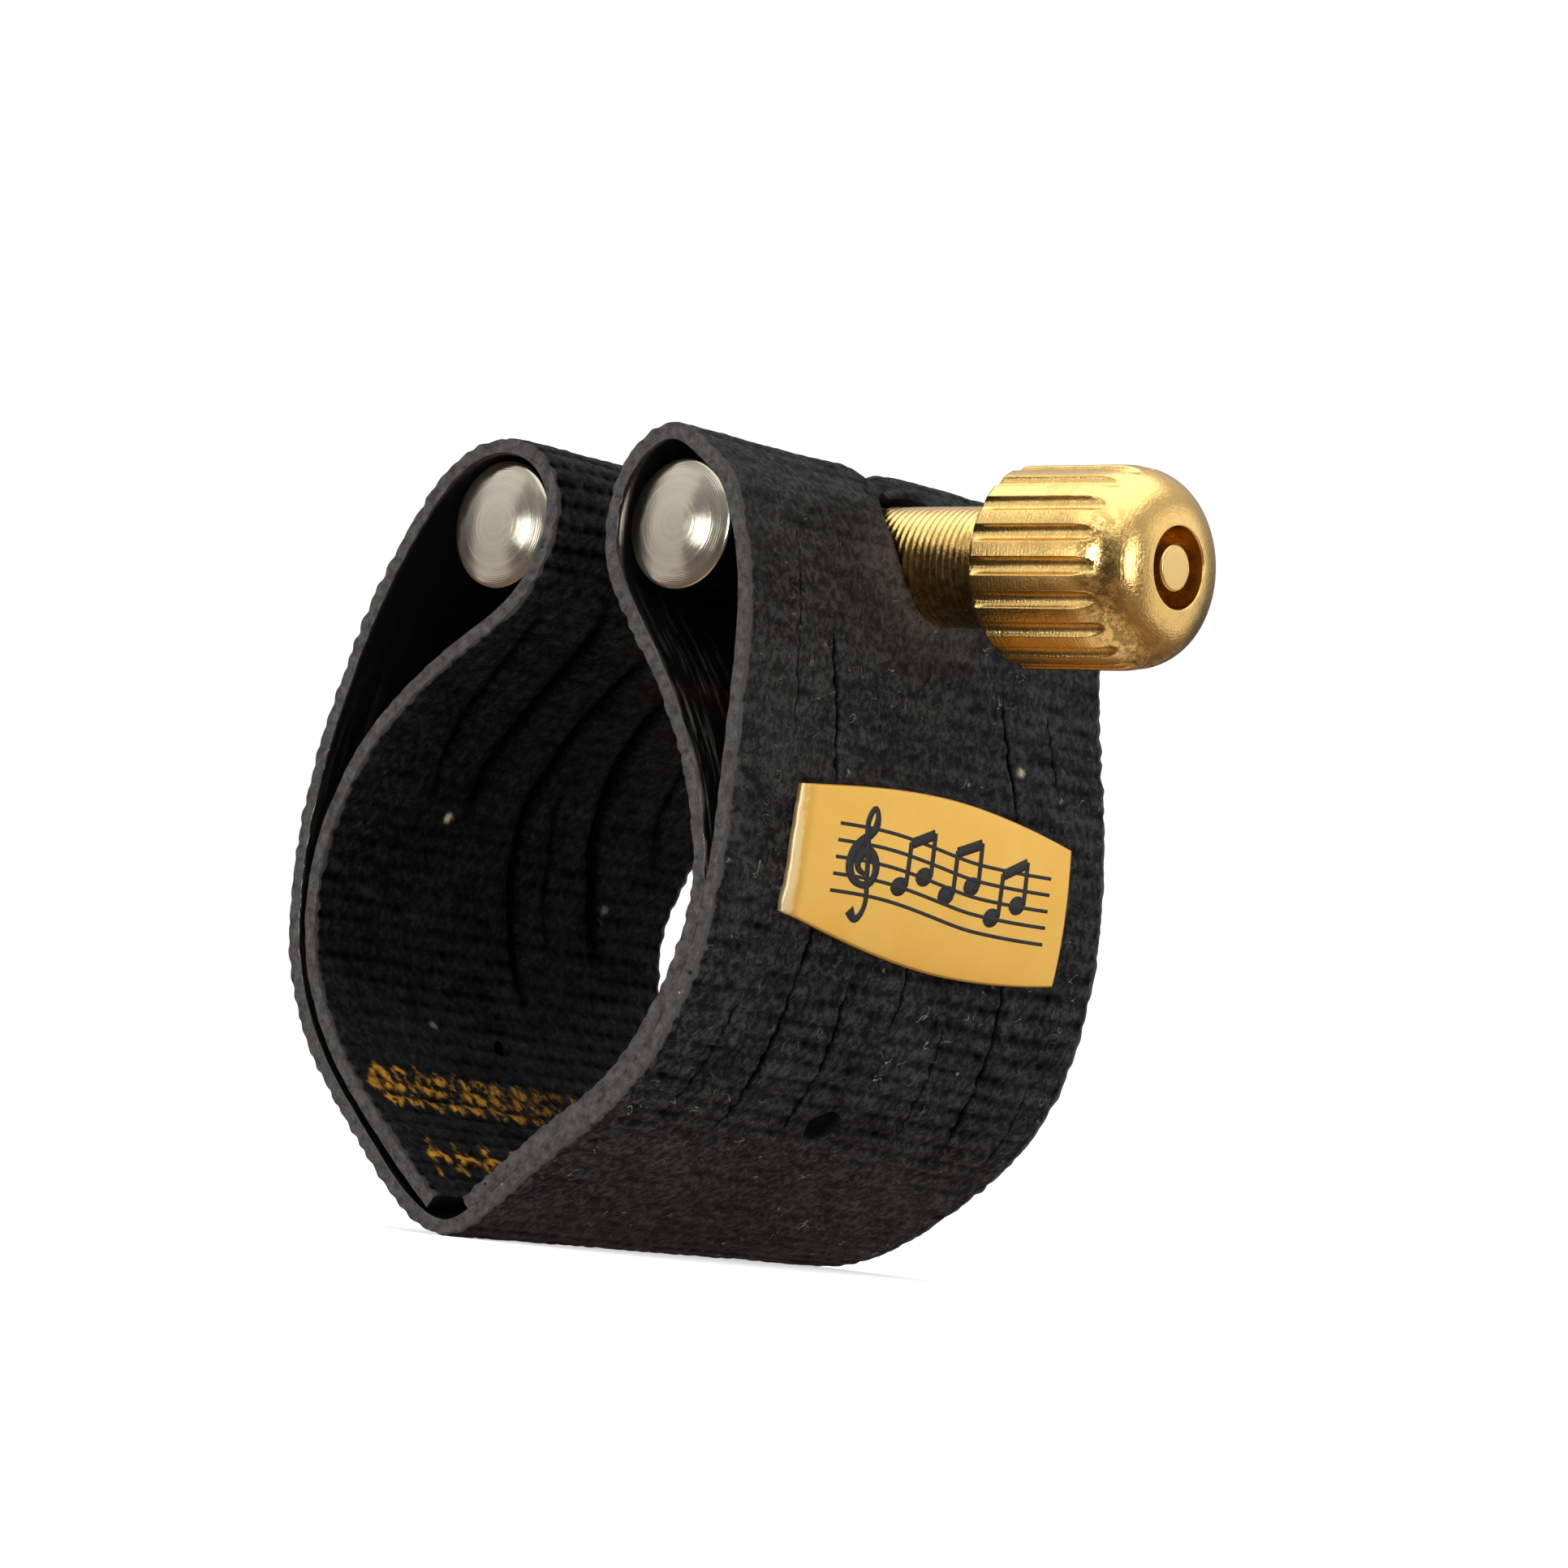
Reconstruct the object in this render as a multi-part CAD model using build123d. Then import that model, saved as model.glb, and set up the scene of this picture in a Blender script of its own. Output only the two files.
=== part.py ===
from build123d import *
import math
import os

# A fabric-band ligature for a saxophone mouthpiece. All sizes in millimetres.
# X runs along the tightening screw towards its knob, Y along the mouthpiece's bore and Z up.
# The origin is on the bore's axis, half-way along the strap's width.

# Strap: one strip of ribbed rubberised fabric. Both ends fold round a crossbar and come back
# down inside as the lining that grips the mouthpiece.
STRAP_WIDTH = 28.4
STRAP_THICK = 0.82
FOLD_X, FOLD_Z = -1.5, -15.45          # the bend at the bottom, where the two halves flex
FOLD_SLIT = 0.3                        # gap between the two rigid halves at the bend

# Crossbars: quarter-inch rod with shallow domed ends
BAR_RADIUS = 3.175
BAR_LENGTH = 26.9                      # between the rims of the two domes
BAR_DOME = 0.5
BAR_Z = 18.65
LEFT_BAR_X = -3.54
RIGHT_BAR_X = 8.15
SEAT_DEPTH = 2.0                       # the right bar's seat, from the bar's axis
SEAT_RADIUS = 3.05

# Screw: a threaded stud pressed into a knob with a plain neck
STUD_RADIUS = 1.95
STUD_TIP_X = -4.2
STUD_SHOULDER_X = 19.5
STUD_PIN_RADIUS = 1.17
STUD_PIN_END_X = 27.35
NUT_BORE_RADIUS = 2.2
CLEARANCE_RADIUS = 2.15
NECK_RADIUS = 2.95
KNOB_RADIUS = 4.86
KNOB_BACK_X = 18.6
KNOB_SHOULDER_X = 23.9                 # where the dome starts
KNOB_FACE_X = 27.55                    # rim of the hole in the dome
KNOB_HOLE_RADIUS = 1.95
KNOB_HOLE_FLOOR_X = 24.6
KNOB_CHAMFER = 0.25
DOME_POWER = 2.9                       # superellipse power of the dome's outline
FLUTES = 19
FLUTE_RADIUS = 0.45
FLUTE_DEPTH = 0.32
FLUTE_PHASE_DEG = 187.7

# Strap holes for the screw
STUD_HOLE_RADIUS = 3.0
NECK_HOLE_RADIUS = 3.1
NECK_HOLE_RISE = 1.4                   # the screw has pulled the hole longer upwards
# Small punched holes low on the walls, each square to its wall: radius, X, Y, Z, slope
RIGHT_PUNCH = (1.0, 9.33, -0.3, -8.63, -44)
LEFT_PUNCH = (0.5, -12.6, -0.8, -6.8, 214)

# Label plate: thin brass, bent to the right wall
LABEL_WIDTH = 20.4
LABEL_HEIGHT = 8.2                     # at mid-width
LABEL_BOW = 0.87                       # its long edges bow outwards by this much
LABEL_THICK = 0.5
LABEL_GLUE = 0.03
LABEL_Y = 0.4
LABEL_Z = 3.35
LABEL_TILT_DEG = -3.5                  # the plate sits slightly turned on the wall

# Centre lines, each from the bottom bend up the outside, round the bar and back inside. A point
# gives X, Z on the near rim and X, Z on the far rim, where the strap flares out.
LEFT_LINE = [
    (-3.45, -15.05, -3.5, -15.2), (-7.35, -12.05, -8.4, -12.75), (-11.65, -7.65, -13.7, -8.5),
    (-13.9, -3.0, -16.3, -3.3), (-14.27, 0.5, -16.85, 0.4), (-13.85, 5.25, -15.6, 5.7),
    (-12.45, 10.5, -13.2, 10.9), (-10.65, 15.0, -10.85, 15.1), (-8.2, 19.1, -8.2, 19.1),
    (-5.75, 21.65, -5.75, 21.65), (-3.3, 22.4, -3.3, 22.4), (-1.0, 21.75, -1.0, 21.75),
    (0.2, 20.3, 0.2, 20.3), (0.42, 18.6, 0.42, 18.6), (-0.05, 16.9, -0.05, 16.9),
    (-1.25, 15.05, -1.25, 15.05), (-3.1, 13.6, -3.2, 13.7), (-6.1, 11.65, -6.6, 12.0),
    (-8.6, 9.6, -9.55, 10.15), (-10.55, 7.45, -11.9, 7.95), (-12.0, 4.9, -13.65, 5.2),
    (-12.85, 2.4, -15.0, 2.6), (-13.12, 0.3, -15.62, 0.3), (-12.82, -2.55, -15.3, -2.9),
    (-10.72, -6.95, -12.9, -7.7), (-6.6, -11.15, -7.6, -11.9), (-4.05, -13.3, -4.35, -13.65),
    (-2.7, -14.35, -2.75, -14.45),
]
RIGHT_LINE = [
    (-0.45, -15.05, -0.3, -15.3), (1.25, -13.9, 1.7, -14.75), (4.8, -11.15, 5.6, -12.6),
    (8.45, -8.4, 9.3, -9.8), (11.1, -4.9, 12.1, -6.1), (12.55, -1.4, 13.45, -1.9),
    (13.15, 2.0, 13.85, 1.8), (13.33, 5.5, 13.7, 5.4), (13.4, 9.5, 13.1, 9.5),
    (13.4, 13.5, 12.4, 13.5), (13.05, 16.6, 12.1, 16.8), (12.1, 19.4, 11.85, 19.4),
    (11.15, 21.0, 11.1, 21.0), (9.9, 21.95, 9.9, 21.95), (7.75, 22.95, 7.75, 22.95),
    (5.95, 22.15, 5.95, 22.15), (4.85, 20.6, 4.85, 20.6), (4.45, 18.6, 4.45, 18.6),
    (4.65, 17.0, 4.65, 17.0), (5.35, 15.5, 5.35, 15.5), (6.5, 13.95, 6.5, 13.95),
    (7.75, 12.4, 7.75, 12.4), (9.0, 10.65, 9.0, 10.7), (10.0, 9.0, 10.05, 9.05),
    (10.9, 7.2, 11.1, 7.2), (11.6, 5.3, 12.0, 5.3), (12.05, 3.5, 12.65, 3.4),
    (12.25, 1.9, 12.97, 1.7), (11.77, -1.25, 12.62, -1.75), (10.42, -4.5, 11.35, -5.75),
    (7.94, -7.78, 8.72, -9.21), (4.32, -10.52, 5.12, -11.92), (0.82, -13.25, 1.33, -14.0),
    (-0.45, -14.22, -0.35, -14.5),
]
PARTING_Z = 2.3                        # below this height the lining is bonded to the wall
NEAR, FAR = 0, 2                       # where a point's near and far coordinates start


def centre_line(points, start_x, rim):
    """The smooth line through a half's points on one rim."""
    return Spline((start_x, FOLD_Z), *[(point[rim], point[rim + 1]) for point in points])


def side_points(path, start, end, offset):
    """Points beside a line, a fixed distance to its left, between two places along it."""
    steps = 4 + round(160 * abs(end - start))
    points = []
    for step in range(steps + 1):
        along = start + (end - start) * step / steps
        direction = path % along
        points.append(path @ along + Vector(-direction.Y, direction.X) * offset)
    return points


def place_on_line(path, low, high, reached):
    """Where a condition first holds along a stretch of a line, by halving the stretch."""
    for _ in range(30):
        middle = (low + high) / 2
        if reached(path @ middle):
            high = middle
        else:
            low = middle
    return high


def closed_face(first_side, second_side):
    """A face between two smooth sides that run in opposite directions."""
    outline = Spline(*first_side) + Line(first_side[-1], second_side[0])
    outline += Spline(*second_side) + Line(second_side[-1], first_side[0])
    return make_face(outline)


def rim_to_rim(section):
    """A body ruled between its cross-sections at the near and the far rim."""
    faces = [
        Pos(0, y, 0) * (Plane.XZ * section(rim))
        for rim, y in ((NEAR, -STRAP_WIDTH / 2), (FAR, STRAP_WIDTH / 2))
    ]
    return loft(faces, ruled=True)


def rod_x(radius, start_x, end_x, y=0.0, z=BAR_Z):
    """A round rod along X."""
    plane = Plane(origin=(start_x, y, z), x_dir=(0, 1, 0), z_dir=(1, 0, 0))
    return extrude(plane * Circle(radius), end_x - start_x)


def punch(radius, x, y, z, slope_deg):
    """A short round cutter whose axis leaves the bore at a slope in the XZ plane."""
    slope = math.radians(slope_deg)
    outward = (math.cos(slope), 0, math.sin(slope))
    return extrude(Plane(origin=(x, y, z), z_dir=outward) * Circle(radius), 2.5, both=True)


def strap_left():
    """The half away from the knob, with its loop round the threaded bar and its loose lining."""
    def section(rim):
        path = centre_line(LEFT_LINE, FOLD_X - FOLD_SLIT / 2, rim)
        inside = side_points(path, 1, 0, -STRAP_THICK / 2)
        outside = side_points(path, 0, 1, STRAP_THICK / 2)
        return closed_face(outside, inside)

    hole = rod_x(STUD_HOLE_RADIUS, LEFT_BAR_X, LEFT_BAR_X + 8)
    return rim_to_rim(section) - hole - punch(*LEFT_PUNCH)


def strap_right():
    """The knob's half, with its loop, the hole for the knob's neck and its bonded lining."""
    def whole(rim):
        path = centre_line(RIGHT_LINE, FOLD_X + FOLD_SLIT / 2, rim)
        lining_end = RIGHT_LINE[-1][rim] + 0.3
        under_lining = place_on_line(path, 0, 0.1, lambda point: point.X > lining_end)
        outside = side_points(path, 0, 1, -STRAP_THICK / 2)
        return closed_face(outside, side_points(path, under_lining, 0, STRAP_THICK / 2))

    def pocket(rim):
        path = centre_line(RIGHT_LINE, FOLD_X + FOLD_SLIT / 2, rim)
        wall_foot = place_on_line(path, 0, 0.4, lambda point: point.Y > PARTING_Z)
        lining_foot = place_on_line(path, 0.5, 0.9, lambda point: point.Y < PARTING_Z)
        inside = side_points(path, wall_foot, lining_foot, STRAP_THICK / 2)
        return make_face(Spline(*inside) + Line(inside[-1], inside[0]))

    stud_hole = rod_x(STUD_HOLE_RADIUS, RIGHT_BAR_X - 8, RIGHT_BAR_X)
    top_z = BAR_Z + NECK_HOLE_RISE
    neck_hole = rod_x(NECK_HOLE_RADIUS, RIGHT_BAR_X, RIGHT_BAR_X + 10)
    neck_hole += rod_x(NECK_HOLE_RADIUS, RIGHT_BAR_X, RIGHT_BAR_X + 10, z=top_z)
    middle = Pos(RIGHT_BAR_X + 5, 0, (BAR_Z + top_z) / 2)
    neck_hole += middle * Box(10, 2 * NECK_HOLE_RADIUS, NECK_HOLE_RISE)
    return rim_to_rim(whole) - rim_to_rim(pocket) - stud_hole - neck_hole - punch(*RIGHT_PUNCH)


def crossbar(x):
    """A round bar along Y with a shallow dome on each end."""
    half = BAR_LENGTH / 2
    dome_radius = (BAR_RADIUS**2 + BAR_DOME**2) / (2 * BAR_DOME)
    outline = Line((0, -half - BAR_DOME), (0, half + BAR_DOME))
    outline += RadiusArc((0, half + BAR_DOME), (BAR_RADIUS, half), dome_radius)
    outline += Line((BAR_RADIUS, half), (BAR_RADIUS, -half))
    outline += RadiusArc((BAR_RADIUS, -half), (0, -half - BAR_DOME), dome_radius)
    bar = revolve(make_face(outline), axis=Axis.Y)
    return Pos(x, 0, BAR_Z) * bar


def left_crossbar():
    """The nut bar: the stud's thread runs right through it."""
    return crossbar(LEFT_BAR_X) - rod_x(NUT_BORE_RADIUS, LEFT_BAR_X - 5, LEFT_BAR_X + 5)


def right_crossbar():
    """The bearing bar: a clearance hole, and a spot-faced seat for the end of the neck."""
    bar = crossbar(RIGHT_BAR_X) - rod_x(CLEARANCE_RADIUS, RIGHT_BAR_X - 5, RIGHT_BAR_X + 5)
    seat = rod_x(SEAT_RADIUS, RIGHT_BAR_X + SEAT_DEPTH, RIGHT_BAR_X + 5)
    return bar - seat


def knob():
    """Neck and head in one piece: a domed end, flutes that run out on the dome, a hole for the stud."""
    neck_x = RIGHT_BAR_X + SEAT_DEPTH + 0.03
    rim_reach = (1 - (KNOB_HOLE_RADIUS / KNOB_RADIUS) ** DOME_POWER) ** (1 / DOME_POWER)
    dome_length = (KNOB_FACE_X - KNOB_SHOULDER_X) / rim_reach
    dome = []
    for step in range(9):
        radius = KNOB_RADIUS - (KNOB_RADIUS - KNOB_HOLE_RADIUS) * (step / 8) ** 1.6
        reach = (1 - (radius / KNOB_RADIUS) ** DOME_POWER) ** (1 / DOME_POWER)
        dome.append((KNOB_SHOULDER_X + dome_length * reach, radius))
    outline = Polyline(
        (neck_x, STUD_RADIUS), (neck_x, NECK_RADIUS - 0.15), (neck_x + 0.15, NECK_RADIUS),
        (KNOB_BACK_X - 0.5, NECK_RADIUS), (KNOB_BACK_X, NECK_RADIUS + 0.5),
        (KNOB_BACK_X, KNOB_RADIUS - KNOB_CHAMFER), (KNOB_BACK_X + KNOB_CHAMFER, KNOB_RADIUS), dome[0],
    )
    outline += Spline(*dome, tangents=[(1, 0), (0, -1)])
    outline += Polyline(
        dome[-1], (KNOB_HOLE_FLOOR_X, KNOB_HOLE_RADIUS), (KNOB_HOLE_FLOOR_X, STUD_PIN_RADIUS),
        (STUD_SHOULDER_X, STUD_PIN_RADIUS), (STUD_SHOULDER_X, STUD_RADIUS), (neck_x, STUD_RADIUS),
    )
    body = Pos(0, 0, BAR_Z) * revolve(Plane.XY * make_face(outline), axis=Axis.X)
    for flute in range(FLUTES):
        angle = math.radians(FLUTE_PHASE_DEG + flute * 360 / FLUTES)
        reach = KNOB_RADIUS - FLUTE_DEPTH + FLUTE_RADIUS
        y, z = reach * math.cos(angle), BAR_Z + reach * math.sin(angle)
        body -= rod_x(FLUTE_RADIUS, KNOB_BACK_X - 1, KNOB_FACE_X, y, z)
    return body


def stud():
    """Threaded rod, drawn at its outer diameter, with the turned-down end seen in the knob."""
    shank = rod_x(STUD_RADIUS, STUD_TIP_X, STUD_SHOULDER_X)
    pin = rod_x(STUD_PIN_RADIUS, STUD_SHOULDER_X, STUD_PIN_END_X)
    tip_edge = shank.faces().sort_by(Axis.X)[0].edges()
    return chamfer(tip_edge, 0.4) + pin


def label_plate():
    """Thin plate bent to the outer face of the right wall and cemented to it."""
    near_path = centre_line(RIGHT_LINE, FOLD_X + FOLD_SLIT / 2, NEAR)
    low = place_on_line(near_path, 0, 0.4, lambda point: point.Y > LABEL_Z - LABEL_HEIGHT)
    high = place_on_line(near_path, 0, 0.4, lambda point: point.Y > LABEL_Z + LABEL_HEIGHT)
    back = -STRAP_THICK / 2 - LABEL_GLUE

    def section(rim):
        path = centre_line(RIGHT_LINE, FOLD_X + FOLD_SLIT / 2, rim)
        back_side = side_points(path, low, high, back)
        return closed_face(back_side, side_points(path, high, low, back - LABEL_THICK))

    bow_radius = ((LABEL_WIDTH / 2) ** 2 + LABEL_BOW**2) / (2 * LABEL_BOW)
    trim = Box(10, LABEL_WIDTH, LABEL_HEIGHT)
    for side in (-1, 1):
        centre_z = side * (LABEL_HEIGHT / 2 - bow_radius)
        trim &= Pos(0, 0, centre_z) * Rot(0, 90, 0) * Cylinder(bow_radius, 10)
    trim = Pos(RIGHT_LINE[7][NEAR], LABEL_Y, LABEL_Z) * Rot(LABEL_TILT_DEG, 0, 0) * trim
    return rim_to_rim(section) & trim


def main():
    os.makedirs("parts", exist_ok=True)
    parts = {
        "strap_left": strap_left(),
        "strap_right": strap_right(),
        "left_crossbar": left_crossbar(),
        "right_crossbar": right_crossbar(),
        "knob": knob(),
        "stud": stud(),
        "label_plate": label_plate(),
    }
    for name, shape in parts.items():
        export_step(shape, f"parts/{name}.step")


if __name__ == "__main__":
    main()
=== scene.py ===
import math

import bpy
import numpy as np
from mathutils import Matrix, Vector


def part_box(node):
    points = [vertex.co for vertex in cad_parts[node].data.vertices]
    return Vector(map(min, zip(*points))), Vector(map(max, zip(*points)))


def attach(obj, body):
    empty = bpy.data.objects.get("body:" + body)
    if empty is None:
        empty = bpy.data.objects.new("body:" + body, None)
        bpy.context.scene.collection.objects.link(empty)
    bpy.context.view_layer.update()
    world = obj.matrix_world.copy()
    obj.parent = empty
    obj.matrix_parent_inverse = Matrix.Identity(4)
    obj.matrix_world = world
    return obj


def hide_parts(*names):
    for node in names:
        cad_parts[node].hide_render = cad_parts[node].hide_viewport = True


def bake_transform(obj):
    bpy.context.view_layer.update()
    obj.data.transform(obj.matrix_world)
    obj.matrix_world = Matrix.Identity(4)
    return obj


# Looks for a saxophone ligature. Shapes are worked out in millimetres and stored in metres,
# in the CAD part's own frame: X along the screw, Y along the bore, Z up.

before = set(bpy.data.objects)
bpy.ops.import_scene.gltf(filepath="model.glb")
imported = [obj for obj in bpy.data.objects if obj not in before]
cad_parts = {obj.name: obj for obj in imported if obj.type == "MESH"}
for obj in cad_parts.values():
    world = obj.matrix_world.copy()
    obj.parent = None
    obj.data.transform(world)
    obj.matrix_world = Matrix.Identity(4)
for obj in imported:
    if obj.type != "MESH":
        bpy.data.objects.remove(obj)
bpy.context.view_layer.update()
MM = 0.001

# ------------ sizes, in millimetres
BAR_Z = (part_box("right_crossbar")[0].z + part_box("right_crossbar")[1].z) / 2 / MM
LEFT_BAR_X = (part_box("left_crossbar")[0].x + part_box("left_crossbar")[1].x) / 2 / MM
RIGHT_BAR_X = (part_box("right_crossbar")[0].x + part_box("right_crossbar")[1].x) / 2 / MM
HALF_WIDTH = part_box("strap_left")[1].y / MM
FLOOR_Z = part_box("strap_left")[0].z / MM
THICK = 0.82
# Each point gives X, Z on the near rim, then X, Z on the far rim where they differ
LEFT_LINE = [
    (-3.45, -15.05, -3.5, -15.2), (-7.35, -12.05, -8.4, -12.75), (-11.65, -7.65, -13.7, -8.5),
    (-13.9, -3.0, -16.3, -3.3), (-14.27, 0.5, -16.85, 0.4), (-13.85, 5.25, -15.6, 5.7),
    (-12.45, 10.5, -13.2, 10.9), (-10.65, 15.0, -10.85, 15.1), (-8.2, 19.1), (-5.75, 21.65), (-3.3, 22.4),
    (-1.0, 21.75), (0.2, 20.3), (0.42, 18.6), (-0.05, 16.9), (-1.25, 15.05), (-3.1, 13.6, -3.2, 13.7),
    (-6.1, 11.65, -6.6, 12.0), (-8.6, 9.6, -9.55, 10.15), (-10.55, 7.45, -11.9, 7.95),
    (-12.0, 4.9, -13.65, 5.2), (-12.85, 2.4, -15.0, 2.6), (-13.12, 0.3, -15.62, 0.3),
    (-12.82, -2.55, -15.3, -2.9), (-10.72, -6.95, -12.9, -7.7), (-6.6, -11.15, -7.6, -11.9),
    (-4.05, -13.3, -4.35, -13.65), (-2.7, -14.35, -2.75, -14.45),
]
RIGHT_LINE = [
    (-0.45, -15.05, -0.3, -15.3), (1.25, -13.9, 1.7, -14.75), (4.8, -11.15, 5.6, -12.6),
    (8.45, -8.4, 9.3, -9.8), (11.1, -4.9, 12.1, -6.1), (12.55, -1.4, 13.45, -1.9),
    (13.15, 2.0, 13.85, 1.8), (13.33, 5.5, 13.7, 5.4), (13.4, 9.5, 13.1, 9.5), (13.4, 13.5, 12.4, 13.5),
    (13.05, 16.6, 12.1, 16.8), (12.1, 19.4, 11.85, 19.4), (11.15, 21.0, 11.1, 21.0), (9.9, 21.95),
    (7.75, 22.95), (5.95, 22.15), (4.85, 20.6), (4.45, 18.6), (4.65, 17.0), (5.35, 15.5), (6.5, 13.95),
    (7.75, 12.4), (9.0, 10.65, 9.0, 10.7), (10.0, 9.0, 10.05, 9.05), (10.9, 7.2, 11.1, 7.2),
    (11.6, 5.3, 12.0, 5.3), (12.05, 3.5, 12.65, 3.4), (12.25, 1.9, 12.97, 1.7),
    (11.77, -1.25, 12.62, -1.75), (10.42, -4.5, 11.35, -5.75), (7.94, -7.78, 8.72, -9.21),
    (4.32, -10.52, 5.12, -11.92), (0.82, -13.25, 1.33, -14.0), (-0.45, -14.22, -0.35, -14.5),
]
FOLD = (-1.5, -15.45)


# ------------ numbers and noise
def smooth(low, high, value):
    """0 below low, 1 above high and a smooth step between them."""
    t = np.clip((np.asarray(value, float) - low) / (high - low), 0, 1)
    return t * t * (3 - 2 * t)


def wander(along, scale, seed):
    """Smooth random values about 0, between -1 and 1, changing over a distance of scale."""
    dice = np.random.default_rng(seed)
    knots = dice.uniform(-1, 1, int(np.max(along) / scale) + 4)
    place = np.asarray(along, float) / scale
    index = np.floor(place).astype(int)
    t = place - index
    t = t * t * (3 - 2 * t)
    return knots[index] * (1 - t) + knots[index + 1] * t


def wander_2d(u, v, scale_u, scale_v, seed):
    """Smooth random values over a surface. u is 0 or more and v more than -20."""
    v = v + 20
    dice = np.random.default_rng(seed)
    cells = dice.uniform(-1, 1, (int(np.max(u) / scale_u) + 3, int(np.max(v) / scale_v) + 3))
    a, b = u / scale_u, v / scale_v
    i, j = np.floor(a).astype(int), np.floor(b).astype(int)
    p, q = a - i, b - j
    p, q = p * p * (3 - 2 * p), q * q * (3 - 2 * q)
    low = cells[i, j] * (1 - q) + cells[i, j + 1] * q
    high = cells[i + 1, j] * (1 - q) + cells[i + 1, j + 1] * q
    return low * (1 - p) + high * p


def natural_spline(points, samples):
    """A smooth curve through the points, as many samples of it, and the distance along it.

    Columns past the second ride along on the first two columns' spacing."""
    p = np.array(points, float)
    knots = np.r_[0, np.cumsum(np.hypot(*np.diff(p[:, :2], axis=0).T))]
    gap = np.diff(knots)
    count = len(p)
    matrix, right = np.eye(count), np.zeros(p.shape)
    for i in range(1, count - 1):
        matrix[i, i - 1:i + 2] = gap[i - 1], 2 * (gap[i - 1] + gap[i]), gap[i]
        right[i] = 6 * ((p[i + 1] - p[i]) / gap[i] - (p[i] - p[i - 1]) / gap[i - 1])
    bend = np.linalg.solve(matrix, right)
    t = np.linspace(0, knots[-1], samples)
    i = np.clip(np.searchsorted(knots, t) - 1, 0, count - 2)
    after, before, h = (t - knots[i])[:, None], (knots[i + 1] - t)[:, None], gap[i][:, None]
    curve = (bend[i] * before**3 + bend[i + 1] * after**3) / (6 * h)
    curve += (p[i] / h - bend[i] * h / 6) * before + (p[i + 1] / h - bend[i + 1] * h / 6) * after
    along = np.r_[0, np.cumsum(np.hypot(*np.diff(curve[:, :2], axis=0).T))]
    return curve, along


# ------------ meshes
def mesh_object(name, points, quads, slots=None, mats=(), values=None):
    """A smooth-shaded mesh from points in millimetres and four-sided faces."""
    mesh = bpy.data.meshes.new(name)
    points, quads = np.asarray(points, float), np.asarray(quads, int)
    mesh.vertices.add(len(points))
    mesh.vertices.foreach_set("co", (points * MM).ravel())
    mesh.loops.add(quads.size)
    mesh.loops.foreach_set("vertex_index", quads.ravel())
    mesh.polygons.add(len(quads))
    mesh.polygons.foreach_set("loop_start", np.arange(len(quads)) * 4)
    if slots is not None:
        mesh.polygons.foreach_set("material_index", np.asarray(slots, int))
    mesh.update(calc_edges=True)
    mesh.polygons.foreach_set("use_smooth", np.ones(len(quads), bool))
    for material in mats:
        mesh.materials.append(material)
    for key, value in (values or {}).items():
        attribute = mesh.attributes.new(key, "FLOAT", "POINT")
        attribute.data.foreach_set("value", np.asarray(value, np.float32))
    obj = bpy.data.objects.new(name, mesh)
    bpy.context.scene.collection.objects.link(obj)
    return obj


def grid_quads(rows, columns, close_rows=False, close_columns=False, start=0):
    """Faces of a grid whose point (row, column) is number start + row * columns + column."""
    i = np.arange(rows if close_rows else rows - 1)
    j = np.arange(columns if close_columns else columns - 1)
    i, j = np.meshgrid(i, j, indexing="ij")
    i2, j2 = (i + 1) % rows, (j + 1) % columns
    corners = [i * columns + j, i2 * columns + j, i2 * columns + j2, i * columns + j2]
    return np.stack(corners, -1).reshape(-1, 4) + start


# ------------ materials
def material(name, base, metallic=0.0, roughness=0.5, specular=0.5):
    mat = bpy.data.materials.new(name)
    mat.use_nodes = True
    shader = mat.node_tree.nodes["Principled BSDF"]
    shader.inputs["Base Color"].default_value = (*base, 1)
    shader.inputs["Metallic"].default_value = metallic
    shader.inputs["Roughness"].default_value = roughness
    shader.inputs["Specular IOR Level"].default_value = specular
    return mat, mat.node_tree, shader


def node(tree, kind, settings=None, **sockets):
    """A shader node with its settings and sockets filled in, each from a value or another output."""
    made = tree.nodes.new("ShaderNode" + kind)
    for key, value in (settings or {}).items():
        setattr(made, key, value)
    for key, value in sockets.items():
        socket = made.inputs[int(key[1:]) if key[1:].isdigit() else key.replace("_", " ")]
        if isinstance(value, bpy.types.NodeSocket):
            tree.links.new(value, socket)
        else:
            socket.default_value = value
    return made


def maths(tree, operation, a, b=0.0):
    return node(tree, "Math", {"operation": operation}, _0=a, _1=b).outputs[0]


def times(tree, a, b):
    return maths(tree, "MULTIPLY", a, b)


def plus(tree, a, b):
    return maths(tree, "ADD", a, b)


def noise(tree, vector, scale, detail=3.0, rough=0.5):
    return node(tree, "TexNoise", Vector=vector, Scale=scale, Detail=detail,
                Roughness=rough).outputs["Fac"]


def ramp(tree, value, low, high, to_low=0.0, to_high=1.0):
    """A clamped straight-line map of value from low..high to to_low..to_high."""
    made = node(tree, "MapRange", None, Value=value, _1=low, _2=high,
                _3=to_low, _4=to_high)
    return made.outputs["Result"]


def split(tree, vector):
    return node(tree, "SeparateXYZ", None, Vector=vector).outputs


def mix_colour(tree, factor, a, b):
    made = node(tree, "Mix", {"data_type": "RGBA"}, _0=factor)
    for index, value in ((6, a), (7, b)):
        if isinstance(value, bpy.types.NodeSocket):
            tree.links.new(value, made.inputs[index])
        else:
            made.inputs[index].default_value = (*value, 1)
    return made.outputs[2]


def attribute(tree, name):
    return node(tree, "Attribute", {"attribute_name": name}).outputs["Fac"]


def place(tree):
    """Position in the object, in metres."""
    return node(tree, "TexCoord").outputs["Object"]


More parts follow.
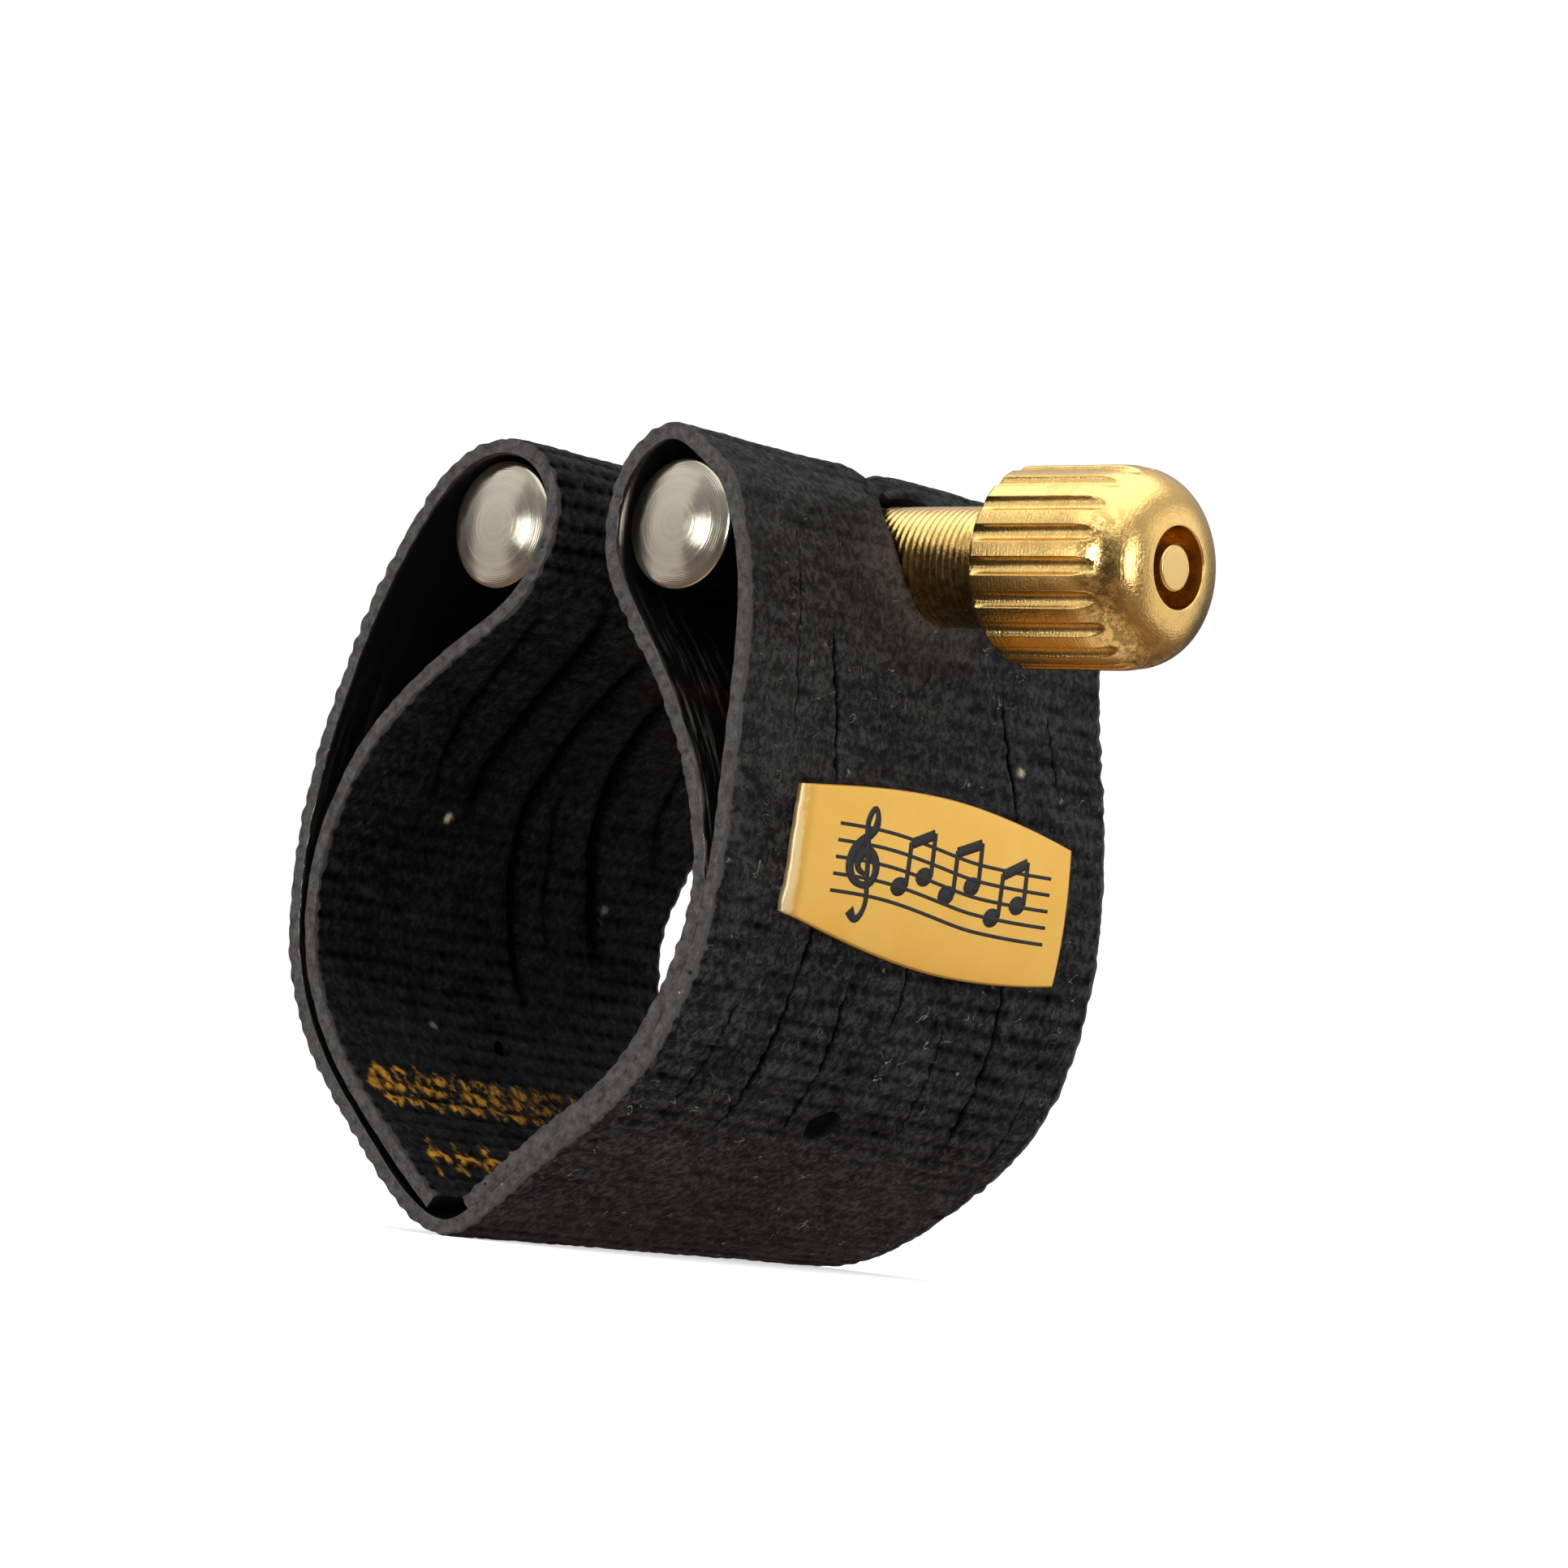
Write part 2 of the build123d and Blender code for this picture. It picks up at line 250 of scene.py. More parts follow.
def bump(tree, shader, height, distance, strength=1.0):
    made = node(tree, "Bump", Strength=strength, Distance=distance, Height=height)
    tree.links.new(made.outputs["Normal"], shader.inputs["Normal"])


def specks(tree, here, scale, size, share):
    """Round dots of random size at a few random places."""
    cells = node(tree, "TexVoronoi", None, Vector=here, Scale=scale)
    chosen = node(tree, "SeparateColor", None, Color=cells.outputs["Color"])
    big = times(tree, chosen.outputs[1], size)
    dot = maths(tree, "LESS_THAN", cells.outputs["Distance"], big)
    return times(tree, dot, maths(tree, "LESS_THAN", chosen.outputs[0], share))


def fibres(tree, here, scale, width, share):
    """Short curled threads: pieces of the contour lines of a noise."""
    line = maths(tree, "ABSOLUTE", maths(tree, "SUBTRACT", noise(tree, here, scale, 1.0, 0.5), 0.5))
    line = maths(tree, "LESS_THAN", line, width)
    piece = maths(tree, "GREATER_THAN", noise(tree, here, scale * 1.3, 0.0, 0.5), share)
    return times(tree, line, piece)


def strap_material():
    """Ribbed rubberised fabric: nearly black, matted and linty, with worn gold print inside, and painted
    shade in the rib valleys, along the lining, and in the cracks and creases.
    """
    mat, tree, shader = material("strap_fabric", (0.01, 0.01, 0.01), 0, 0.78, 0.16)
    here = place(tree)
    fine = noise(tree, here, 2800, 5, 0.76)
    broad = noise(tree, here, 240, 3, 0.6)
    level = plus(tree, times(tree, ramp(tree, fine, 0.455, 0.575), 0.9),
                 times(tree, ramp(tree, broad, 0.3, 0.7), 0.25))
    # the rib attribute darkens the rib valleys and the lining: painted shade
    level = times(tree, level, attribute(tree, "rib"))
    shade = mix_colour(tree, level, (0.0012, 0.0012, 0.0014), (0.0248, 0.0249, 0.0248))
    dusty = times(tree, attribute(tree, "dust"), ramp(tree, fine, 0.3, 0.6))
    shade = mix_colour(tree, dusty, shade, (0.060, 0.046, 0.034))
    lint = maths(tree, "MAXIMUM", specks(tree, here, 900, 0.17, 0.12),
                 fibres(tree, here, 950, 0.0060, 0.645))
    lint = times(tree, lint, ramp(tree, noise(tree, here, 150, 1), 0.38, 0.62))
    lint = times(tree, lint, attribute(tree, "linty"))
    shade = mix_colour(tree, times(tree, lint, 0.75), shade, (0.21, 0.20, 0.175))
    ragged = times(tree, noise(tree, here, 1300, 3, 0.6), 0.9)
    ragged = plus(tree, attribute(tree, "rim"), ragged)
    shade = mix_colour(tree, ramp(tree, ragged, 1.05, 1.2), shade, (0.042, 0.040, 0.038))
    ink_grain = ramp(tree, noise(tree, here, 1500, 3, 0.6), 0.43, 0.55)
    ink = times(tree, attribute(tree, "ink"), ink_grain)
    gold = mix_colour(tree, noise(tree, here, 900, 2), (0.34, 0.15, 0.012), (0.80, 0.38, 0.03))
    shade = mix_colour(tree, ink, shade, gold)
    shade = mix_colour(tree, attribute(tree, "grit"), shade, (0.55, 0.44, 0.30))
    # painted shade: cracks, creases and the dragged valley are coloured nearly black
    shade = mix_colour(tree, attribute(tree, "painted_crack_shade"), shade, (0.0003, 0.0003, 0.0003))
    tree.links.new(shade, shader.inputs["Base Color"])
    open_face = maths(tree, "SUBTRACT", 1.0, attribute(tree, "painted_crack_shade"))
    sheen = times(tree, times(tree, open_face, attribute(tree, "rib")), 0.17)
    tree.links.new(sheen, shader.inputs["Specular IOR Level"])
    bump(tree, shader, plus(tree, fine, times(tree, lint, 0.4)), 0.00014, 1.0)
    return mat


def cut_edge_material():
    """The strap's cut edge, where the fabric's fibres make the rubber lighter."""
    mat, tree, shader = material("strap_cut_edge", (0.05, 0.048, 0.045), 0, 0.9, 0.15)
    here = place(tree)
    grain = noise(tree, here, 1900, 5, 0.7)
    shade = mix_colour(tree, ramp(tree, grain, 0.35, 0.65), (0.020, 0.0195, 0.019), (0.062, 0.059, 0.055))
    shade = mix_colour(tree, specks(tree, here, 1100, 0.2, 0.07), shade, (0.19, 0.18, 0.15))
    shade = mix_colour(tree, specks(tree, here, 1300, 0.24, 0.06), shade, (0.006, 0.006, 0.006))
    tree.links.new(shade, shader.inputs["Base Color"])
    bump(tree, shader, grain, 0.00015, 0.7)
    return mat


def inner_face_material():
    """The strap's smooth side: a glossy black film, with painted highlight streaks along the strip low down,
    mostly on the right side.
    """
    mat, tree, shader = material("strap_inner_film", (0.003, 0.003, 0.0035), 0, 0.24, 0.5)
    here = place(tree)
    stretched = node(tree, "Mapping", None, Vector=here)
    stretched.inputs["Scale"].default_value = (0.1, 1.0, 0.1)
    painted_highlight_streak = ramp(tree, noise(tree, stretched.outputs[0], 2600, 3, 0.6), 0.52, 0.72)
    parts = split(tree, here)
    low = times(tree, ramp(tree, parts["Z"], 0.016, 0.006), ramp(tree, parts["X"], 0.0, 0.004, 0.12))
    # painted highlights: light streaks low down on the film
    shade = mix_colour(tree, times(tree, painted_highlight_streak, low), (0.003, 0.003, 0.0035), (0.13, 0.12, 0.09))
    tree.links.new(shade, shader.inputs["Base Color"])
    bump(tree, shader, noise(tree, here, 500, 3, 0.55), 0.00008, 0.6)
    return mat


def gold_material(name, base, roughness, marks_along_x=True):
    """Gold plate with fine turning marks and faint tarnish; with marks along X it also gets painted shade
    under the neck and a painted dark reflection band round the dome.
    """
    mat, tree, shader = material(name, base, 1, roughness)
    here = place(tree)
    cloud = noise(tree, here, 650, 4, 0.65)
    blotch = ramp(tree, noise(tree, here, 330, 5, 0.7), 0.54, 0.66)
    tint = mix_colour(tree, times(tree, blotch, 0.35), base, tuple(c * 0.55 for c in base))
    if marks_along_x:
        parts = split(tree, here)
        pits = ramp(tree, noise(tree, here, 2300, 4, 0.8), 0.42, 0.55)
        # painted reflection: a dark speckled band round the lower dome, between the highlights; the worn mark
        # below is this band plus faint pits
        painted_dark_band = maths(tree, "ABSOLUTE", maths(tree, "SUBTRACT", parts["X"], 0.0261))
        painted_dark_band = times(tree, ramp(tree, painted_dark_band, 0.0011, 0.0004),
                     ramp(tree, parts["Z"], 0.0215, 0.0200))
        worn = times(tree, plus(tree, times(tree, painted_dark_band, 0.72), 0.08), pits)
        tint = mix_colour(tree, worn, tint, tuple(c * 0.24 for c in base))
        # painted shade: the neck darkens towards its underside
        neck_painted_shade = times(tree, ramp(tree, parts["Z"], 0.0212, 0.0182),
                      ramp(tree, parts["X"], 0.0184, 0.0181))
        neck_painted_shade = times(tree, neck_painted_shade, ramp(tree, noise(tree, here, 1900, 4, 0.75), 0.36, 0.56))
        tint = mix_colour(tree, times(tree, neck_painted_shade, 0.85), tint, (0.30, 0.16, 0.03))
    tree.links.new(tint, shader.inputs["Base Color"])
    level = ramp(tree, cloud, 0.3, 0.7, roughness - 0.04, roughness + 0.06)
    tree.links.new(level, shader.inputs["Roughness"])
    if marks_along_x:
        line = node(tree, "CombineXYZ", None, X=parts["X"]).outputs[0]
        marks = noise(tree, line, 9000, 2, 0.7)
        speckle = times(tree, noise(tree, here, 7000, 3, 0.7), 1.3)
        height = plus(tree, plus(tree, marks, speckle), times(tree, cloud, 1.5))
        bump(tree, shader, height, 0.000014, 0.85)
    else:
        bump(tree, shader, cloud, 0.00001, 0.5)
    return mat


def steel_material():
    """Bright steel with rings left by facing the end of the rod."""
    mat, tree, shader = material("bar_steel", (0.60, 0.52, 0.41), 1, 0.30)
    here = place(tree)
    parts = split(tree, here)
    flat = node(tree, "CombineXYZ", None, X=parts["X"], Z=parts["Z"])
    distance = node(tree, "VectorMath", {"operation": "LENGTH"}, _0=flat.outputs[0])
    line = node(tree, "CombineXYZ", None, X=distance.outputs["Value"]).outputs[0]
    uneven = times(tree, noise(tree, here, 700, 3), 0.7)
    rings = plus(tree, noise(tree, line, 2600, 3, 0.7), uneven)
    bump(tree, shader, rings, 0.00003, 0.45)
    tint = mix_colour(tree, ramp(tree, noise(tree, line, 1400, 2, 0.6), 0.35, 0.6),
                      (0.45, 0.41, 0.335), (0.51, 0.455, 0.36))
    tree.links.new(tint, shader.inputs["Base Color"])
    level = ramp(tree, noise(tree, here, 900, 4, 0.6), 0.3, 0.7, 0.13, 0.21)
    tree.links.new(level, shader.inputs["Roughness"])
    return mat


MAT_STRAP = strap_material()
MAT_EDGE = cut_edge_material()
MAT_FILM = inner_face_material()
# painted shade: the walls of the holes and the strip's ends are near black
MAT_HOLE_WALL_SHADE = material("strap_hole_wall_shade", (0.003, 0.003, 0.003), 0, 0.9, 0.1)[0]
MAT_KNOB = gold_material("knob_gold", (0.93, 0.61, 0.21), 0.17)
MAT_HOLE = gold_material("hole_gold", (0.97, 0.63, 0.17), 0.22)
MAT_STUD = gold_material("stud_gold", (0.88, 0.60, 0.24), 0.28, False)
MAT_STEEL = steel_material()
# painted shade: the middle of each bar, inside the loops, is a dark dull material
MAT_BAR_SHADE = material("bar_painted_shade", (0.02, 0.019, 0.018), 0, 0.6, 0.2)[0]
MAT_INK = material("label_ink", (0.016, 0.016, 0.016), 0, 0.55, 0.25)[0]


def label_material():
    """Satin gold with faint upright brushing."""
    mat, tree, shader = material("label_gold", (0.94, 0.55, 0.12), 1, 0.36)
    here = place(tree)
    stretched = node(tree, "Mapping", None, Vector=here)
    stretched.inputs["Scale"].default_value = (1, 14, 0.5)
    brushed = noise(tree, stretched.outputs[0], 420, 4, 0.6)
    bump(tree, shader, brushed, 0.000012, 0.5)
    tint = mix_colour(tree, ramp(tree, noise(tree, here, 260, 3), 0.4, 0.62),
                      (0.95, 0.57, 0.13), (0.92, 0.53, 0.11))
    parts = split(tree, here)
    ragged = times(tree, noise(tree, here, 1500, 4, 0.7), 0.0012)
    worn = ramp(tree, plus(tree, parts["Y"], ragged), -0.00868, -0.00905)
    tint = mix_colour(tree, worn, tint, (0.93, 0.74, 0.42))
    tree.links.new(tint, shader.inputs["Base Color"])
    tree.links.new(ramp(tree, worn, 0.0, 1.0, 0.36, 0.6), shader.inputs["Roughness"])
    return mat


MAT_LABEL = label_material()

# ------------ the strap
STEP = 0.125
RIB = 1.0                      # rib to rib along the strip, and thread to thread across it
POINTS = [p if len(p) == 4 else p + p for p in LEFT_LINE[::-1] + [FOLD] + RIGHT_LINE]
LINE = natural_spline(POINTS, 12001)
LENGTH = LINE[1][-1]
S_FINE = np.linspace(0, LENGTH, 6001)
RIMS = np.stack([np.interp(S_FINE, LINE[1], column) for column in LINE[0].T])


def on_strip(s, y):
    """Middle of the strip's thickness and its direction along the strip, in XZ."""
    part = np.clip((y + HALF_WIDTH) / (2 * HALF_WIDTH), 0, 1)
    values = []
    for near, far in ((RIMS[0], RIMS[2]), (RIMS[1], RIMS[3]),
                      (np.gradient(RIMS[0], S_FINE), np.gradient(RIMS[2], S_FINE)),
                      (np.gradient(RIMS[1], S_FINE), np.gradient(RIMS[3], S_FINE))):
        values.append(np.interp(s, S_FINE, near) * (1 - part) + np.interp(s, S_FINE, far) * part)
    x, z, tx, tz = values
    size = np.hypot(tx, tz)
    return x, z, tx / size, tz / size


MIDDLE_X, MIDDLE_Z = on_strip(S_FINE, 0 * S_FINE)[:2]


def along_near(x, z):
    """Distance along the strip of the place at mid-width nearest to a point."""
    return S_FINE[np.argmin(np.hypot(MIDDLE_X - x, MIDDLE_Z - z))]


S_FOLD = along_near(*FOLD)
S_LOOP_TOP = along_near(7.75, 22.95)
S_NECK = S_FINE[np.argmin(np.abs(MIDDLE_Z - BAR_Z) + 100 * ((S_FINE < S_FOLD) | (S_FINE > S_LOOP_TOP)))]

# Cracks across the ribs: each is a line of (distance along the strip, Y), and the stretches of it
# that are open, as (start, end, half-width)
CRACKS = [
    ([(98, -10.6), (108.7, -10.8), (114.9, -10.5), (128.4, -10.2), (137.3, -10.4)],
     [(108.2, 115.2, 0.07), (126, 138, 0.05)]),
    ([(98, -7.2), (108.7, -7.0), (112.8, -7.1), (116.4, -7.4), (118.8, -7.0), (126, -6.8), (132.5, -7.7)],
     [(107.6, 120.5, 0.12), (125.4, 133.2, 0.11)]),
    ([(98, -3.0), (108.6, -2.8), (111.4, -3.1), (113.5, -3.2), (116.3, -3.6)], [(108.0, 117.0, 0.11)]),
    ([(98, 0.4), (114.8, 0.25), (117.7, 0.1)], [(114.4, 118.6, 0.07)]),
    ([(98, 4.5), (108.6, 5.2), (114.5, 3.9), (118, 3.6)], [(108.0, 115.5, 0.05)]),
    ([(98, 7.5), (109.7, 8.6), (112.1, 8.0), (114.8, 7.9), (117.3, 7.4), (125.2, 7.1), (130.6, 5.9)],
     [(109.0, 119.0, 0.11), (125.0, 131.4, 0.11)]),
    ([(98, 12.0), (108.6, 12.5), (113.2, 11.7), (120, 11.0), (127, 10.5), (130.3, 9.6)],
     [(108.2, 113.8, 0.05), (126.4, 131.0, 0.08)]),
]
# Soft folds in the left lining: a line of (distance along the strip, Y), half-width, depth
CREASES = [
    ([(22, -7.4), (24.9, -8.1), (27.2, -8.9), (34.2, -11.0), (40, -12.6)], 0.30, 0.22),
    ([(21, -4.6), (23.4, -4.9), (26.8, -5.4), (29.8, -5.6), (34.5, -6.8), (41, -9.1)], 0.50, 0.34),
    ([(12, 2.3), (15.9, 1.9), (18.0, 1.6), (21.4, 0.1), (23.9, -0.7), (27.0, -0.9), (31.0, -1.7), (38, -3.4)],
     0.42, 0.36),
    ([(15, 4.8), (17.3, 4.6), (21.5, 2.9), (24.8, 1.3), (28, 0.8)], 0.26, 0.16),
    ([(15, 8.9), (17.6, 8.5), (20.8, 7.2), (22.9, 5.7), (25.2, 4.7), (28.4, 3.5), (35, 1.2)], 0.50, 0.40),
    ([(20, 11.6), (22.3, 11.1), (24.6, 9.7), (27.7, 8.7), (33, 6.6)], 0.30, 0.16),
]
CRACK_SIDES = (-0.3, -0.2, -0.13, -0.075, -0.035, 0.0, 0.035, 0.075, 0.13, 0.2, 0.3)


def crack_lines(s):
    """Y of every crack line at each place along the strip, with small jogs."""
    lines = []
    for number, (knots, _) in enumerate(CRACKS):
        at, y = np.array(knots).T
        jog = 0.12 * wander(s, 0.9, 40 + number) + 0.05 * wander(s, 0.3, 60 + number)
        lines.append(np.interp(s, at, y) + jog)
    return lines


# Holes through the strip: (distance along it, Y, radius, extra length along the strip)
HOLES = [
    (S_NECK + 0.45, 0.0, 3.1, 0.9),
    (along_near(RIGHT_BAR_X - 3.7, BAR_Z), 0.0, 2.9, 0.0),
    (along_near(LEFT_BAR_X + 3.96, BAR_Z), 0.0, 2.9, 0.0),
    (along_near(9.33, -8.63), -0.3, 0.98, 0.0),
    (along_near(8.74, -8.06), -0.3, 0.98, 0.0),
    (along_near(-12.28, -6.57), -0.8, 0.45, 0.0),
]


def hole_edge(s, y, hole):
    """Nearest point on a hole's middle line, and the distance from it."""
    at, centre, _, extra = hole
    nearest = np.clip(s, at, at + extra)
    return nearest, centre, np.hypot(s - nearest, y - centre)


def ridges(s, y):
    """Height of the ribbed face, and its colour level: painted shade in the rib valleys, painted shade along
    the lining, and random matted tone.
    """
    count = s / RIB + 0.18 * wander(s, 3.1, 3)
    rib = 0.5 + 0.5 * np.cos(2 * np.pi * (count + 0.07 * wander_2d(s, y, 1.6, 2.0, 5)))
    threads = 0.5 + 0.5 * np.cos(2 * np.pi * (y / 0.95 + 0.14 * wander_2d(s, y, 6, 2.0, 6)))
    valley = (1 - rib) ** 2.0
    pit = valley * (1 - threads)
    worn = 0.72 + 0.28 * wander_2d(s, y, 5.0, 4.0, 8)
    # the ribs have worn flat round the bend and high on the right wall, and stand proud on the left loop
    strength = np.interp(s, (0, 23, 27, 38, 42, 60, 66, 97, 99, 105, 109, 117, 121, 140, 146, 152),
                         (1, 1, 0.35, 0.35, 1.3, 1.3, 0.9, 0.9, 0.3, 0.3, 0.9, 0.9, 0.4, 0.3, 0.8, 1))
    strength = strength + 0.35 * smooth(0, 6, y) * smooth(116, 121, s) * (1 - smooth(130, 135, s))
    depth = -0.15 * (0.5 * valley + 0.5 * pit) * worn * (0.5 + 0.5 * strength)
    depth += 0.03 * (threads - 0.5) * rib * worn * strength
    depth += 0.03 * wander_2d(s, y, 0.42, 0.45, 9) + 0.04 * wander_2d(s, y, 5, 4, 10)
    matted = 0.55 * wander_2d(s, y, 0.40, 0.75, 31) + 0.45 * wander_2d(s, y, 0.8, 1.9, 34)
    # painted shade: the rib valleys and pits are coloured darker
    painted_shade_and_tone = 1 - (0.5 * valley + 0.5 * pit) * worn * strength
    # painted shade: the colour is darkened along the strip, most on the lining inside the left loop
    shade = np.interp(s, (0, 12, 17, 36, 42, 60, 66, 97, 104, 109, 118, 122),
                      (0.62, 0.62, 0.42, 0.42, 0.7, 0.9, 0.9, 0.85, 0.9, 0.86, 0.86, 1))
    return depth, np.clip(painted_shade_and_tone + 0.52 * matted, 0, 1.4) * shade


def strap_ink(s, y):
    """Worn ornament printed inside the left lining: lozenges and dots over a row of chevrons."""
    ink = np.zeros_like(s)
    for number in range(6):
        y0 = -12.1 + 3.1 * number
        s0 = 8.0
        lozenge = np.abs(y - y0) / 1.35 + np.abs(s - s0) / 1.6
        ink = np.maximum(ink, 1 - smooth(0.24, 0.34, np.abs(lozenge - 0.75)))
        ink = np.maximum(ink, 1 - smooth(0.22, 0.34, lozenge))
        dots = np.hypot(y - y0 - 1.55, np.abs(s - s0) - 0.95)
        ink = np.maximum(ink, 1 - smooth(0.42, 0.6, dots))
    for number in range(6):
        y0 = -11.7 + 2.0 * number
        s0 = 3.0
        chevron = np.abs(np.abs(y - y0) * 2.0 + (s - s0) - 0.9)
        ink = np.maximum(ink, (1 - smooth(0.55, 0.8, chevron)) * (np.abs(y - y0) < 0.95))
    patchy = smooth(-0.95, -0.15, wander_2d(s, y, 0.8, 0.7, 21))
    return ink * patchy * (s < 13) * (1 - 0.45 * smooth(-9, 4, y))


# Specks caught in the ribs: distance along the strip, Y, radius, brightness
GRIT = [(23.5, -6.3, 0.26, 0.9), (12.5, -5.9, 0.22, 0.35), (20.0, 8.5, 0.24, 0.2), (127.8, 7.3, 0.22, 0.6)]


def build_strap():
    rows = np.linspace(0, LENGTH, int(LENGTH / STEP) + 1)
    lines = crack_lines(rows)
    means = [float(np.mean(np.array(knots)[:, 1])) for knots, _ in CRACKS]
    base = np.arange(-HALF_WIDTH + 0.3, HALF_WIDTH - 0.29, 0.2)
    base = [u for u in base if min(abs(u - m) for m in means) > 0.4]
    ends = [HALF_WIDTH, HALF_WIDTH - 0.06, HALF_WIDTH - 0.16]
    across = sorted(base + [m + d for m in means for d in CRACK_SIDES] + ends + [-e for e in ends])
    across = np.array(across)
    fixed = 1.0                                  # rows this near a rim stay straight
    s_grid = np.repeat(rows[:, None], len(across), 1)
    y_grid = np.empty_like(s_grid)
    for i in range(len(rows)):
        ys = [line[i] for line in lines]
        anchors = [-HALF_WIDTH, -HALF_WIDTH + fixed]
        places = list(anchors)
        for m, y in zip(means, ys):
            anchors += [m - 0.3, m + 0.3]
            places += [y - 0.3, y + 0.3]
        anchors += [HALF_WIDTH - fixed, HALF_WIDTH]
        places += [HALF_WIDTH - fixed, HALF_WIDTH]
        y_grid[i] = np.interp(across, anchors, places)
    y_clean = y_grid.copy()

    # Take out the faces inside each hole and bring the cut on to the hole's outline
    centre_s = (s_grid[:-1, :-1] + s_grid[1:, 1:]) / 2
    centre_y = (y_grid[:-1, :-1] + y_grid[1:, 1:]) / 2
    kept = np.ones(centre_s.shape, bool)
    hole_lip = np.full(s_grid.shape, 9.0)
    for hole in HOLES:
        inside = hole_edge(centre_s, centre_y, hole)[2] < hole[2]
        kept &= ~inside
        touched = np.zeros(s_grid.shape, int)
        for di in (0, 1):
            for dj in (0, 1):
                touched[di:len(rows) - 1 + di, dj:len(across) - 1 + dj] |= np.where(inside, 1, 2)
        near_s, near_y, away = hole_edge(s_grid, y_grid, hole)
        rim = (touched == 3) & (away < hole[2] + 1)
        scale = hole[2] / np.maximum(away, 1e-6)
        s_grid = np.where(rim, near_s + (s_grid - near_s) * scale, s_grid)
        y_grid = np.where(rim, near_y + (y_grid - near_y) * scale, y_grid)
        hole_lip = np.minimum(hole_lip, np.abs(hole_edge(s_grid, y_grid, hole)[2] - hole[2]))

    # Height of the ribbed face
    height, painted_shade_and_tone = ridges(s_grid, y_grid)
    height -= 0.12 * np.exp(-hole_lip / 0.12)
    # painted shade: the open cracks are marked for nearly black colour
    painted_crack_shade = np.zeros_like(height)
    for line, (_, stretches) in zip(lines, CRACKS):
        for start, end, half in stretches:
            middle, reach = (start + end) / 2, (end - start) / 2
            inside = np.clip(1 - np.abs(rows - middle) / reach, 0, 1)
            uneven = 0.8 + 0.35 * wander(rows, 0.8, int(start * 7))
            width = 1.6 * half * np.clip(inside * 3.5, 0, 1) * uneven
            width = np.maximum(width, 1e-3)[:, None]
            shape = np.clip(1.15 - np.abs(y_clean - line[:, None]) / width, 0, 1)
            height -= 0.42 * shape * (inside > 0)[:, None] * np.clip(width / 0.06, 0, 1)
            painted_crack_shade = np.maximum(painted_crack_shade, np.clip(1.6 * shape, 0, 1) * (inside > 0)[:, None])
    for knots, half, depth in CREASES:
        at, y = np.array(knots).T
        fade = smooth(at[0], at[0] + 5, s_grid) * (1 - smooth(at[-1] - 4, at[-1], s_grid))
        line = np.interp(s_grid, at, y) + 0.12 * wander(rows, 2.5, int(at[-1] * 5))[:, None]
        off = (y_grid - line) / half
        height -= depth * fade * np.exp(-off**2)
        # painted shade: the creases are marked for nearly black colour
        painted_crack_shade = np.maximum(painted_crack_shade, 0.97 * (depth / 0.4) ** 0.35 * fade * np.exp(-(off * 0.95) ** 2))
    edge = HALF_WIDTH - np.abs(y_grid)
    frayed = wander(rows, 0.33, 71)[:, None] * 0.6 + wander(rows, 0.9, 72)[:, None] * 0.4
    height -= (0.07 + 0.07 * frayed) * (1 - smooth(0, 0.3, edge))
    x_here, z_here = on_strip(s_grid, y_grid)[:2]
    bonded = (s_grid > S_FOLD + 1) * (1 - smooth(1.6, 2.4, z_here)) * (x_here > 0)
    film = -0.06 * (1 - smooth(0, 0.1, edge)) * (1 - bonded) + 0.03 * bonded
    film += 0.01 * wander_2d(s_grid, y_grid, 1.5, 1.2, 12)

    # Collar pushed up round the knob's neck
    neck = HOLES[0]
    away = hole_edge(s_grid, y_grid, neck)[2]
    collar = 0.45 * np.exp(-((away - neck[2]) / 1.1) ** 2) * (np.abs(s_grid - neck[0]) < 8)
    collar *= 1 - smooth(neck[0] - 1, neck[0] + 2.5, s_grid)

    # The screw has dragged the loop's top down over the hole, with a lip on each side
    sag = np.interp(y_grid, (-5, -2.9, -1.9, -1.2, -0.75, -0.4, 0.0, 0.4, 0.9, 2.2, 5.1, 7.3),
                    (0.05, 0.13, 0.0, -0.15, -0.43, -0.58, -0.46, -0.22, 0.0, 0.1, 0.12, 0.0))
    past_top = smooth(S_LOOP_TOP + 1.5, S_LOOP_TOP + 3.5, s_grid)
    height += sag * smooth(S_NECK + 3.6, S_NECK + 5.2, s_grid) * (1 - past_top)
    # painted shade: a dark line along the valley dragged into the loop's top
    valley_line = np.abs(y_grid + 0.5 + 0.9 * np.clip(S_LOOP_TOP - s_grid, 0, 3))
    on_top = smooth(S_NECK + 2.5, S_NECK + 3.5, s_grid) * (s_grid < S_LOOP_TOP + 1)
    painted_crack_shade = np.maximum(painted_crack_shade, 0.8 * np.exp(-(valley_line / 0.16) ** 2) * on_top)
    dust = np.exp(-((away - neck[2] - 0.8) / 1.3) ** 2) * (np.abs(s_grid - neck[0]) < 9)
    dust *= 1 - smooth(neck[0] - 0.5, neck[0] + 2.0, s_grid)
    dust *= 0.75 + 0.25 * wander_2d(s_grid, y_grid, 0.7, 0.7, 33)
    grit = np.zeros_like(height)
    for at, y, radius, bright in GRIT:
        off = np.hypot(s_grid - at, y_grid - y)
        grit = np.maximum(grit, bright * (1 - smooth(radius - 0.1, radius + 0.08, off)))

    cut = np.sign(y_grid) * 0.035 * wander(s_grid.ravel(), 0.45, 14).reshape(s_grid.shape)
    y_out = np.where(edge < 0.01, y_grid + cut, y_grid)
    x_mid, z_mid, tx, tz = on_strip(s_grid, y_grid)
    outward = (THICK / 2 + height + collar, -(THICK / 2 + film) + collar)
    sides = [np.stack([x_mid + tz * off, y_out, z_mid - tx * off], -1) for off in outward]

